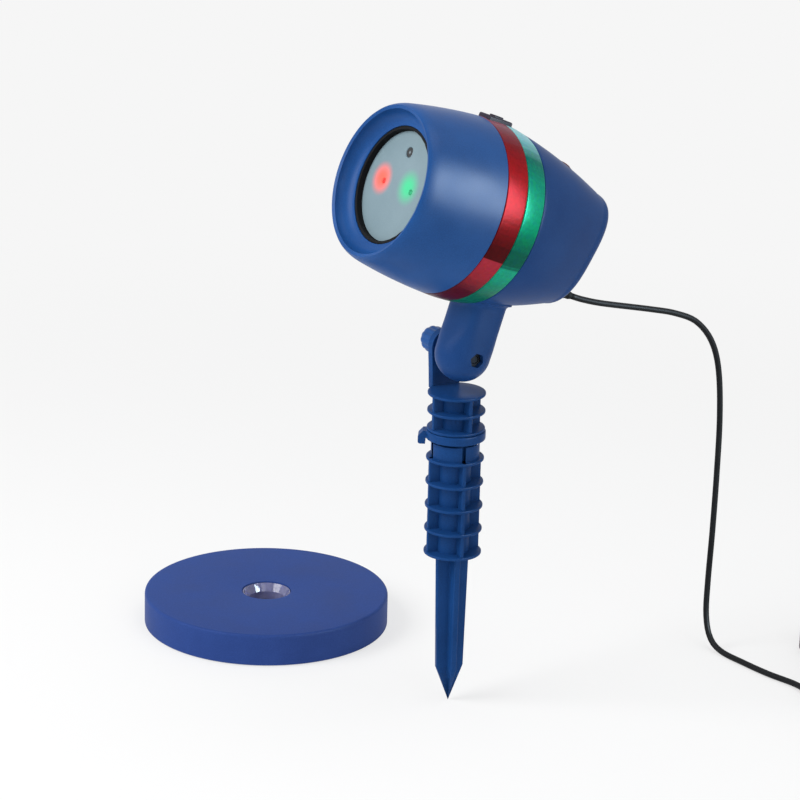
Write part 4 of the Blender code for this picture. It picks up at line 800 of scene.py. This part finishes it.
def rear_moulding():
    """The rear shell: the spigot under the bands, the tapered tail and the clamp arm in one moulding."""
    first = FRONT_LENGTH - GAP / 2 - SPIGOT_LAP
    start = TAIL_START + GAP / 2
    soft = 0.5 * MM
    outside = [(first, SPIGOT_RADIUS), (start, SPIGOT_RADIUS), (start, skin_radius(start) - soft)]
    outside += [(start + soft * 0.3, skin_radius(start) - soft * 0.3)]
    for i in range(34):
        depth = start + soft + (TAIL_EDGE - start - soft) * i / 34
        outside.append((depth, skin_radius(depth)))
    for i in range(9):
        turn = pi / 2 * i / 9
        radius = TAIL_RADIUS - TAIL_ROUNDING * (1 - cos(turn))
        outside.append((TAIL_EDGE + TAIL_ROUNDING * sin(turn), radius))
    for i in range(7):
        t = 1 - i / 7
        outside.append((TAIL_END + TAIL_BULGE * (1 - t * t), (TAIL_RADIUS - TAIL_ROUNDING) * t))
    outside.append((TAIL_END + TAIL_BULGE, 0))
    inner_end = TAIL_END - SHELL_WALL
    inner_edge = TAIL_EDGE - SHELL_WALL / 2
    inside = [(inner_end, 0), (inner_end, TAIL_RADIUS - TAIL_ROUNDING - SHELL_WALL / 2)]
    for i in range(12):
        depth = inner_edge - (inner_edge - start) * i / 12
        inside.append((depth, skin_radius(depth) - SHELL_WALL))
    bore = SPIGOT_RADIUS - SHELL_WALL
    inside += [(start + SHELL_WALL, bore), (first, bore)]
    shell = skinned([tail_ring(depth, radius) for depth, radius in outside + inside], joined=True)
    arm = carved(clamp_arm(), [skinned([tail_ring(depth, radius) for depth, radius in inside[:-1]])])
    across_x = Matrix.Rotation(pi / 2, 4, "Y")
    pad = rod(CLAMP_PAD_RADIUS, -ARM_LEFT, 0)
    pad.transform(across_x)
    shell = carved(shell, [arm, pad], "UNION")
    through = 14 * MM
    corner = NUT_POCKET_FLATS / 2 / cos(pi / 6)
    cuts = []
    for form, place in (
        (rod(BOLT_RADIUS + GAP, -2 * ARM_LEFT, 2 * ARM_RIGHT), across_x),
        (skinned([circle(corner, z, 6, pi / 6) for z in (NUT_POCKET_END, 2 * ARM_RIGHT)]), across_x),
        (rod(BUTTON_RADIUS + BUTTON_RING + GAP, -through, through), button_seat()),
        (rod(BOOT_NECK_RADIUS + GAP, -through, through), BOOT_SEAT),
        (switch_pocket(), Matrix.Identity(4)),
    ):
        form.transform(place)
        cuts.append(form)
    return carved(shell, cuts)


piece("front_moulding", "front_shell", front_moulding(), "head", AXIS)
piece("red_foil_ring", "red_band", band(FRONT_LENGTH), "head", HEAD)
piece("green_foil_ring", "green_band", band(CREST_DEPTH), "head", HEAD)
piece("rear_moulding", "rear_shell", rear_moulding(), "head", HEAD, 30)

# The grey plate, its beam and sensor holes eased
plate = turned(eased([
    (0, PLATE_FRONT, 0), (PLATE_RADIUS, PLATE_FRONT, 0.4 * MM), (PLATE_RADIUS, PLATE_BACK, 0), (0, PLATE_BACK, 0),
]), FINE)
holes = []
ease = 0.35 * MM
for right, up, radius in (
    (-BEAM_X, 0, BEAM_HOLE_RADIUS), (BEAM_X, 0, BEAM_HOLE_RADIUS), (0, SENSOR_HEIGHT, SENSOR_HOLE_RADIUS),
):
    hole = turned([
        (0, 0), (radius + ease + 5 * MM, PLATE_FRONT - 5 * MM), (radius, PLATE_FRONT + ease), (radius, PLATE_BACK + MM),
        (0, PLATE_BACK + MM),
    ], 48)
    bmesh.ops.translate(hole, vec=(right, -up, 0), verts=hole.verts)
    holes.append(hole)
piece("grey_front_plate", "face_plate", carved(plate, holes), "head", AXIS)

# Mode switch, rear button and cord boot
top = HEAD @ Matrix.Translation(in_head(FRONT_LENGTH + SWITCH_START + SWITCH_LENGTH / 2, 0, SWITCH_TOP))
height = SWITCH_DEPTH - GAP
switch = carved(
    block((SWITCH_WIDTH, SWITCH_LENGTH, height), (0, 0, -height / 2), 1.1 * MM),
    [block((SLIDER_WIDTH + 2 * GAP, SLIDER_LENGTH + SLIDER_TRAVEL + 2 * GAP, 2 * SWITCH_WELL))],
)
piece("switch_frame", "switch_housing", switch, "head", top)
lift = SWITCH_WELL - GAP + SLIDER_PROUD
slider = block((SLIDER_WIDTH, SLIDER_LENGTH, lift), (0, 0, lift / 2 + GAP - SWITCH_WELL), 0.5 * MM)
grips = [block((SLIDER_WIDTH + MM, 0.7 * MM, 0.8 * MM), (0, i * 1.7 * MM, SLIDER_PROUD)) for i in (-1, 0, 1)]
piece("switch_thumb", "mode_slider", carved(slider, grips), "mode_slider", top)

ring = turned(eased([
    (BUTTON_RADIUS + GAP, -BUTTON_RING_DEPTH, 0), (BUTTON_RADIUS + BUTTON_RING, -BUTTON_RING_DEPTH, 0),
    (BUTTON_RADIUS + BUTTON_RING, BUTTON_RING_PROUD, 0.5 * MM), (BUTTON_RADIUS + GAP, BUTTON_RING_PROUD, 0.3 * MM),
]))
piece("push_button_rim", "button_ring", ring, "head", HEAD @ button_seat())
cap = [(0, BUTTON_PROUD - BUTTON_LENGTH), (BUTTON_RADIUS, BUTTON_PROUD - BUTTON_LENGTH)]
for i in range(13):
    turn = pi / 2 * i / 12
    cap.append((BUTTON_RADIUS * cos(turn) ** 0.35, BUTTON_PROUD - 2 * BUTTON_DOME * (1 - sin(turn))))
cap[-1] = (0, BUTTON_PROUD)
piece("push_button_cap", "rear_button", turned(cap), "rear_button", HEAD @ button_seat())

step = BOOT_RADIUS * sin(TAIL_TILT) + GAP
flange = step + BOOT_FLANGE
boot = [
    (0, -BOOT_NECK_LENGTH, 0), (BOOT_NECK_RADIUS, -BOOT_NECK_LENGTH, 0.5 * MM), (BOOT_NECK_RADIUS, step, 0),
    (BOOT_RADIUS, step, 0.5 * MM), (BOOT_RADIUS, flange, 0.8 * MM),
]
first = flange + 0.8 * MM
for i in range(BOOT_RIBS):
    low = first + (BOOT_LENGTH - first) * i / BOOT_RIBS
    high = first + (BOOT_LENGTH - first) * (i + 0.55) / BOOT_RIBS
    wide = BOOT_NECK_RADIUS - (BOOT_NECK_RADIUS - CORD_RADIUS - 2 * GAP) * (i + 0.6) / BOOT_RIBS
    boot += [(wide - 0.45 * MM, low, 0.2 * MM), (wide, low + 0.3 * MM, 0.3 * MM), (wide, high, 0.3 * MM)]
    boot.append((wide - 0.45 * MM, high + 0.3 * MM, 0.2 * MM))
boot += [(CORD_RADIUS + GAP, BOOT_LENGTH, 0), (0, BOOT_LENGTH, 0)]
piece("cord_relief", "cord_boot", turned(eased(boot, 3), 48), "head", HEAD @ BOOT_SEAT)


def fluted_knob():
    """The clamp knob: shallow flutes that fade out on its dome."""
    dome = KNOB_RADIUS * 0.75
    end = KNOB_FACE - KNOB_LENGTH
    profile = []
    for i in range(1, 13):
        turn = pi / 2 * i / 12
        profile.append((KNOB_RADIUS - dome * (1 - sin(turn)), end + dome * (1 - cos(turn)), sin(turn) ** 3))
    for i in range(1, 7):
        profile.append((KNOB_RADIUS, end + dome + (KNOB_FACE - MM - end - dome) * i / 6, 1.0))
    profile += [(KNOB_RADIUS - 0.25 * MM, KNOB_FACE - 0.3 * MM, 0.9), (KNOB_RADIUS - 0.8 * MM, KNOB_FACE, 0.6)]
    bore = BOLT_RADIUS + GAP
    profile += [(bore, KNOB_FACE, 0.0), (bore, KNOB_FACE - KNOB_LENGTH / 2, 0.0)]
    count = 144
    rings = [[Vector((0, 0, end))]]
    for radius, height, share in profile:
        ring = []
        for i in range(count):
            turn = 2 * pi * i / count
            flute = share * KNOB_FLUTE_DEPTH * (0.5 - 0.5 * cos(KNOB_FLUTES * turn)) ** 1.5
            ring.append(spot(radius - flute, turn, height))
        rings.append(ring)
    rings.append([Vector((0, 0, KNOB_FACE - KNOB_LENGTH / 2))])
    return skinned(rings)


piece("fluted_knob", "clamp_knob", fluted_knob(), "clamp_knob", ALONG_X)


def rib_tree():
    """Round ribs with rounded rims, one above another along Z."""
    tree = bpy.data.node_groups.new("moulded_ribs", "GeometryNodeTree")
    for name in ("Radius", "Bore", "Thickness", "Rounding", "Low", "Pitch"):
        tree.interface.new_socket(name, in_out="INPUT", socket_type="NodeSocketFloat")
    tree.interface.new_socket("Count", in_out="INPUT", socket_type="NodeSocketInt")
    tree.interface.new_socket("Finish", in_out="INPUT", socket_type="NodeSocketMaterial")
    tree.interface.new_socket("Geometry", in_out="OUTPUT", socket_type="NodeSocketGeometry")
    sizes = node(tree, "NodeGroupInput", {}).outputs
    spread = node(tree, "ShaderNodeMath", {0: sizes["Radius"], 1: sizes["Bore"]}, operation="ADD")
    middle = node(tree, "ShaderNodeMath", {0: spread.outputs[0], 1: 0.5}, operation="MULTIPLY")
    width = node(tree, "ShaderNodeMath", {0: sizes["Radius"], 1: sizes["Bore"]}, operation="SUBTRACT")
    path = node(tree, "GeometryNodeCurvePrimitiveCircle", {"Resolution": 96, "Radius": middle.outputs[0]})
    section = node(
        tree, "GeometryNodeCurvePrimitiveQuadrilateral", {"Width": width.outputs[0], "Height": sizes["Thickness"]},
    )
    rounded = node(
        tree, "GeometryNodeFilletCurve",
        {"Curve": section.outputs[0], "Count": 3, "Radius": sizes["Rounding"], "Limit Radius": True}, mode="POLY",
    )
    rib = node(tree, "GeometryNodeCurveToMesh", {"Curve": path.outputs[0], "Profile Curve": rounded.outputs[0]})
    half = node(tree, "ShaderNodeMath", {0: sizes["Thickness"], 1: 0.5}, operation="MULTIPLY")
    low = node(tree, "ShaderNodeMath", {0: sizes["Low"], 1: half.outputs[0]}, operation="ADD")
    places = node(tree, "GeometryNodeMeshLine", {
        "Count": sizes["Count"],
        "Start Location": node(tree, "ShaderNodeCombineXYZ", {"Z": low.outputs[0]}).outputs[0],
        "Offset": node(tree, "ShaderNodeCombineXYZ", {"Z": sizes["Pitch"]}).outputs[0],
    })
    stack = node(tree, "GeometryNodeInstanceOnPoints", {"Points": places.outputs[0], "Instance": rib.outputs[0]})
    real = node(tree, "GeometryNodeRealizeInstances", {"Geometry": stack.outputs[0]})
    painted = node(tree, "GeometryNodeSetMaterial", {"Geometry": real.outputs[0], "Material": sizes["Finish"]})
    node(tree, "NodeGroupOutput", {"Geometry": painted.outputs[0]})
    return tree


RIBS = rib_tree()


def rib_stack(bore, low, pitch, count):
    """A stack of moulded ribs as plain faces."""
    bench = placed("rib_bench", bmesh.new())
    step = bench.modifiers.new("ribs", "NODES")
    step.node_group = RIBS
    sizes = {
        "Radius": RIB_RADIUS, "Bore": bore, "Thickness": RIB_THICKNESS, "Rounding": RIB_ROUNDING, "Low": low,
        "Pitch": pitch, "Count": count, "Finish": stake_blue_painted_shade,
    }
    for socket in RIBS.interface.items_tree:
        if socket.in_out == "INPUT":
            step[socket.identifier] = sizes[socket.name]
    return worked([bench])


def ear():
    """The stem's ear, which the clamp pulls the arm against."""
    foot = STEM_TOP - RIB_THICKNESS - PIVOT.z
    outline = [(-foot, -EAR_FOOT_WIDTH / 2)]
    outline += [(-EAR_RADIUS * sin(pi * i / 40), -EAR_RADIUS * cos(pi * i / 40)) for i in range(41)]
    outline.append((-foot, EAR_FOOT_WIDTH / 2))
    form = slab(outline, EAR_OUTSIDE, EAR_FACE, 0.6 * MM)
    form.transform(ALONG_X)
    return form


half = RIB_THICKNESS / 2
plug = turned(eased([
    (0, TOP_RIB + GAP, 0), (PLUG_RADIUS, TOP_RIB + GAP, 0.8 * MM), (PLUG_RADIUS, STEM_BOTTOM + half, 0),
    (CORE_RADIUS, STEM_BOTTOM + half, 0), (CORE_RADIUS, STEM_TOP - half, 0), (0, STEM_TOP - half, 0),
]), 64)
floor_disc = rod(CORE_RADIUS, STEM_TOP - RIB_THICKNESS, STEM_TOP, 64)
stem_body = carved(plug, [
    rib_stack(CORE_RADIUS - MM, STEM_BOTTOM, STEM_DISC_PITCH, STEM_DISC_COUNT), floor_disc,
    slab(cross(WEB_RADIUS, WEB_THICKNESS, 0.6 * MM), STEM_BOTTOM + half, STEM_TOP - half), ear(),
], "UNION")
hole = rod(BOLT_RADIUS + GAP, 2 * EAR_OUTSIDE, 0)
hole.transform(ALONG_X)
piece("ribbed_stem", "stem", carved(stem_body, [hole]), "stem")

# Lock collar with its thumb tab
low = STAKE_TOP + GAP
high = low + COLLAR_HEIGHT
bore = NECK_RADIUS + GAP
collar = turned(eased([
    (bore, low, 0), (COLLAR_RADIUS, low, 0.9 * MM), (COLLAR_RADIUS, high, 0.9 * MM), (bore, high, 0.3 * MM),
]), 96)
inner = COLLAR_RADIUS - 1.2 * MM
rib_clear = RIB_RADIUS + 2 * GAP
foot = low - TAB_DROP
tab_side = eased([
    (inner, low + 0.3 * MM, 0), (rib_clear, low + 0.3 * MM, 0), (rib_clear, foot, 0.3 * MM),
    (TAB_REACH, foot, TAB_SLOPE), (TAB_REACH, low + TAB_SLOPE, TAB_SLOPE),
    (rib_clear + TAB_SLOPE, high - 0.6 * MM, 0.6 * MM), (inner, high - 0.6 * MM, 0),
], 4)
tab = skinned([[Vector((x, y, z)) for x, z in tab_side] for y in (-TAB_WIDTH / 2, TAB_WIDTH / 2)])
tab.transform(Matrix.Rotation(TAB_ANGLE, 4, "Z"))
piece("twist_collar", "lock_collar", carved(collar, [tab], "UNION"), "lock_collar")

# Ground stake: core, socket, ribs, webs and spike in one moulding
socket = NECK_RADIUS + 0.4 * MM
core = turned(eased([
    (0, SPIKE_LENGTH, 0), (SPIKE_LOW_WIDTH / 2, SPIKE_LENGTH, 0), (CORE_RADIUS, SHOULDER_TOP - half, 0),
    (CORE_RADIUS, TOP_RIB - half, 0), (socket, TOP_RIB - half, 0), (socket, STAKE_TOP - half, 0),
    (NECK_RADIUS, STAKE_TOP - half, 0), (NECK_RADIUS, NECK_TOP, 0.4 * MM), (0, NECK_TOP, 0),
]), 96)
spike_levels = [(SHOULDER_TOP - RIB_THICKNESS, SPIKE_TOP_WIDTH / 2), (POINT_LENGTH, SPIKE_LOW_WIDTH / 2)]
spike_rings = [[Vector((x, y, z)) for x, y in cross(wide, SPIKE_WEB, 0.7 * MM)] for z, wide in spike_levels]
spike = skinned([*spike_rings, [Vector((0, 0, 0))]])
webs = slab(cross(WEB_RADIUS, WEB_THICKNESS, 0.6 * MM), SHOULDER_TOP - half, STAKE_TOP - half)
stake_body = carved(core, [
    rib_stack(CORE_RADIUS - MM, SHOULDER_TOP - RIB_THICKNESS, STAKE_RIB_PITCH, STAKE_RIB_COUNT),
    rib_stack(NECK_RADIUS - MM, STAKE_TOP - RIB_THICKNESS, STAKE_RIB_PITCH, 1), webs, spike,
], "UNION")
stake_body = carved(stake_body, [rod(PLUG_RADIUS + GAP, TOP_RIB, 2 * NECK_TOP, 96)])
turn = Matrix.Rotation(STAKE_TURN, 4, "Z")
piece("ribbed_stake", "ground_stake", stake_body, "stake", turn)

# Indoor base
base = turned(eased([
    (BASE_MOUTH_RADIUS, BASE_HEIGHT - BASE_WALL, 0), (BASE_RADIUS - BASE_WALL, BASE_HEIGHT - BASE_WALL, 0),
    (BASE_RADIUS - BASE_WALL, BASE_UNDER, 0), (BASE_RADIUS, BASE_UNDER, 0.4 * MM),
    (BASE_RADIUS, BASE_HEIGHT, BASE_EDGE), (BASE_MOUTH_RADIUS, BASE_HEIGHT, 0.7 * MM),
], 7), 160)
at_base = Matrix.Translation(BASE_PLACE)
piece("base_moulding", "base_shell", base, "indoor_base", at_base)
wide = BASE_MOUTH_RADIUS - GAP
liner = turned(eased([
    (LINER_BORE, LINER_FLOOR, 0), (wide, LINER_FLOOR, 0), (wide, LINER_TOP, 0.3 * MM),
    (wide - 0.7 * MM, LINER_TOP, 0.3 * MM), (LINER_BORE, LINER_TOP - LINER_FUNNEL, 0.8 * MM),
]), 96)
piece("clear_socket_liner", "base_liner", liner, "indoor_base", at_base)


def smooth_route(points, spacing):
    """Points every so often along a smooth curve through the route's points."""
    ends = [points[0] * 2 - points[1], *points, points[-1] * 2 - points[-2]]
    fine = []
    for a, b, c, d in zip(ends, ends[1:], ends[2:], ends[3:]):
        for step in range(24):
            t = step / 24
            fine.append((
                2 * b + (c - a) * t + (2 * a - 5 * b + 4 * c - d) * t * t + (3 * b - a - 3 * c + d) * t ** 3
            ) / 2)
    fine.append(points[-1])
    lengths = [0.0]
    for a, b in zip(fine, fine[1:]):
        lengths.append(lengths[-1] + (b - a).length)
    count = round(lengths[-1] / spacing)
    out = []
    place = 0
    for i in range(count + 1):
        want = lengths[-1] * i / count
        while place < len(fine) - 2 and lengths[place + 1] < want:
            place += 1
        share = (want - lengths[place]) / (lengths[place + 1] - lengths[place])
        out.append(fine[place].lerp(fine[place + 1], share))
    return out


def coil_points():
    """Turns that spiral in, climb half a turn, spiral out, and so on up the layers."""
    outer = COIL_INNER_RADIUS + LOOPS_PER_LAYER * COIL_STEP
    turns = COIL_LAYERS * LOOPS_PER_LAYER + (COIL_LAYERS - 1) / 2
    cycle = LOOPS_PER_LAYER + 0.5
    points = []
    for i in range(round(turns * LOOP_POINTS) + 1):
        turn = i / LOOP_POINTS
        layer = min(int(turn / cycle), COIL_LAYERS - 1)
        along = turn - layer * cycle
        climb = 0.0
        if along <= LOOPS_PER_LAYER:
            radius = outer - COIL_STEP * along
        else:
            late = along - LOOPS_PER_LAYER
            radius = COIL_INNER_RADIUS - COIL_STEP * (late - 2 * late * late)
            climb = 2 * late
        if layer % 2:
            radius = outer + COIL_INNER_RADIUS - radius
        angle = -pi / 2 + 2 * pi * turn
        height = COIL_LOW + COIL_CLIMB * (layer + climb)
        points.append(COIL_PLACE + Vector((radius * cos(angle), radius * sin(angle), height)))
    first = points[0] + Vector((-2 * CORD_RADIUS, 0, 0))
    last = points[-1] + Vector((-ADAPTER_LEAD, 0, 0))
    return [first, *points, last]


def swept(points, radius, count):
    """A round tube along its points, with its section carried along without twist."""
    rings = []
    side = Vector((1, 0, 0))
    for i, point in enumerate(points):
        ahead = (points[min(i + 1, len(points) - 1)] - points[max(i - 1, 0)]).normalized()
        side = (side - ahead * side.dot(ahead)).normalized()
        over = ahead.cross(side)
        rings.append([
            point + radius * (side * cos(2 * pi * k / count) + over * sin(2 * pi * k / count)) for k in range(count)
        ])
    return skinned(rings)


boot_place = HEAD @ (BOOT_SEAT @ Vector((0, 0, BOOT_LENGTH + GAP)))
rearwards = (HEAD.to_3x3() @ Vector((0, 1, 0))).normalized()
coil_line = coil_points()
route = [boot_place, boot_place + rearwards * CORD_EXIT]
route += [Vector(point) * MM for point in CORD_ROUTE]
route += [coil_line[0] + Vector(point) * MM for point in COIL_APPROACH]
route.append(coil_line[0])
cord_line = smooth_route(route, 4 * MM)[:-1] + coil_line

# The wall adapter, its boot round the cord's end
tip = coil_line[-1]
boot_face = tip.x - GAP
relief = turned(eased([
    (0, 0, 0), (CORD_RADIUS + 2 * GAP, 0, 0.4 * MM), (BOOT_RADIUS, ADAPTER_BOOT_LENGTH * 0.8, 1.0 * MM),
    (BOOT_RADIUS, ADAPTER_BOOT_LENGTH, 0.3 * MM), (0, ADAPTER_BOOT_LENGTH, 0),
]), 48)
at_tip = Matrix.Translation((boot_face, tip.y, tip.z)) @ Matrix.Rotation(-pi / 2, 4, "Y")
adapter_boot = piece("adapter_relief", "adapter_boot", relief, "stem", at_tip)
size = ADAPTER_SIZE
centre = Vector((boot_face - ADAPTER_BOOT_LENGTH - GAP - size.x / 2, tip.y, size.z / 2))
adapter = piece("adapter_housing", "adapter_case", block(size, centre, 3 * MM), "stem")

cord_mesh = swept(cord_line, CORD_RADIUS, 16)
bmesh.ops.recalc_face_normals(cord_mesh, faces=cord_mesh.faces)
lead = placed("lead", cord_mesh)
lead.data.shade_smooth()
lead.data.materials.append(black_pvc)
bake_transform(lead)
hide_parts("power_cord", "cord_coil")


def in_sight(tree):
    """One for what the camera sees, itself or in a mirror or through glass. Nothing for light that spreads."""
    rays = node(tree, "ShaderNodeLightPath", {}).outputs
    seen = node(tree, "ShaderNodeMath", {0: rays["Is Camera Ray"], 1: rays["Is Glossy Ray"]}, operation="MAXIMUM")
    return node(
        tree, "ShaderNodeMath", {0: seen.outputs[0], 1: rays["Is Transmission Ray"]}, operation="MAXIMUM",
    ).outputs[0]


# Pale floor that runs out into the background
PAPER = linear("f6f6f6")
FLOOR_RADIUS = 6.0
FADE_START = 0.35         # metres from the middle, where the floor begins to turn into plain background
FADE_END = 1.1
NEAR_SHARE = 0.7          # of plain background, before the fade
floor_mesh = bmesh.new()
bmesh.ops.create_circle(floor_mesh, cap_ends=True, segments=64, radius=FLOOR_RADIUS)
floor = placed("floor", floor_mesh)
floor_finish, tree, shader, points = surface("pale_floor")
feed(shader, {"Base Color": PAPER, "Roughness": 0.9})
reach = node(tree, "ShaderNodeVectorMath", {0: points}, operation="LENGTH")
fade = node(tree, "ShaderNodeMapRange", {
    "Value": reach.outputs["Value"], "From Min": FADE_START, "From Max": FADE_END, "To Min": NEAR_SHARE,
}, interpolation_type="SMOOTHSTEP")
share = node(tree, "ShaderNodeMath", {0: fade.outputs[0], 1: in_sight(tree)}, operation="MULTIPLY")
paper = node(tree, "ShaderNodeEmission", {"Color": PAPER, "Strength": 1.0})
mixed = node(tree, "ShaderNodeMixShader", {0: share.outputs[0], 1: shader.outputs[0], 2: paper.outputs[0]})
feed(tree.nodes["Material Output"], {"Surface": mixed.outputs[0]})
floor.data.materials.append(floor_finish)

# Soft studio light
world = bpy.data.worlds.new("studio")
bpy.context.scene.world = world
world.use_nodes = True
sky = world.node_tree
light = node(sky, "ShaderNodeBackground", {"Color": linear("ffffff"), "Strength": 0.45})
paper = node(sky, "ShaderNodeBackground", {"Color": PAPER, "Strength": 1.0})
both = node(sky, "ShaderNodeMixShader", {0: in_sight(sky), 1: light.outputs[0], 2: paper.outputs[0]})
feed(sky.nodes["World Output"], {"Surface": both.outputs[0]})


def soft_box(name, place, aim, size, power):
    """A square area lamp that points at a place."""
    lamp = bpy.data.lights.new(name, "AREA")
    lamp.shape = "SQUARE"
    lamp.size = size
    lamp.energy = power
    thing = bpy.data.objects.new(name, lamp)
    bpy.context.scene.collection.objects.link(thing)
    away = Vector(place) - Vector(aim)
    thing.matrix_world = Matrix.Translation(place) @ away.to_track_quat("Z", "Y").to_matrix().to_4x4()
    return thing


def around(azimuth, elevation, distance):
    """A place seen from the object at an azimuth and elevation."""
    a = radians(azimuth)
    e = radians(elevation)
    return Vector((sin(a) * cos(e), -cos(a) * cos(e), sin(e))) * distance


AIM = (0, 0, 0.25)
soft_box("key_light", around(-12, 42, 1.7), AIM, 1.0, 22)
soft_box("side_light", around(85, 35, 1.8), AIM, 1.0, 6)
soft_box("top_light", around(150, 75, 1.6), AIM, 0.8, 5)
# A strip beside the object shows as the long soft gleam down the shell and the bands
strip = soft_box("strip_light", around(118, 27, 1.5), AIM, 0.9, 75)
strip.data.color = (0.72, 0.88, 1.0)
strip.visible_diffuse = False

# The camera: long lens, the photograph's angle, level and framing
AZIMUTH = 57.5
ELEVATION = 18.0
ROLL = 1.7
DISTANCE = 2.2
TARGET = Vector((0, 0, 0.2108))
FRAME_PIXELS = 800
PIXELS_PER_MM = 1.6
SHIFT_RIGHT = -57         # pixels
SHIFT_UP = -12
SENSOR = 36.0
camera = bpy.data.cameras.new("camera")
camera.sensor_width = SENSOR
camera.lens = PIXELS_PER_MM * (DISTANCE / MM) * SENSOR / FRAME_PIXELS
camera.shift_x = SHIFT_RIGHT / FRAME_PIXELS
camera.shift_y = SHIFT_UP / FRAME_PIXELS
camera_object = bpy.data.objects.new("camera", camera)
bpy.context.scene.collection.objects.link(camera_object)
towards = around(AZIMUTH, ELEVATION, 1)
camera_object.matrix_world = (
    Matrix.Translation(TARGET + towards * DISTANCE)
    @ towards.to_track_quat("Z", "Y").to_matrix().to_4x4()
    @ Matrix.Rotation(radians(ROLL), 4, "Z")
)
bpy.context.scene.camera = camera_object
bpy.context.scene.view_settings.view_transform = "Standard"
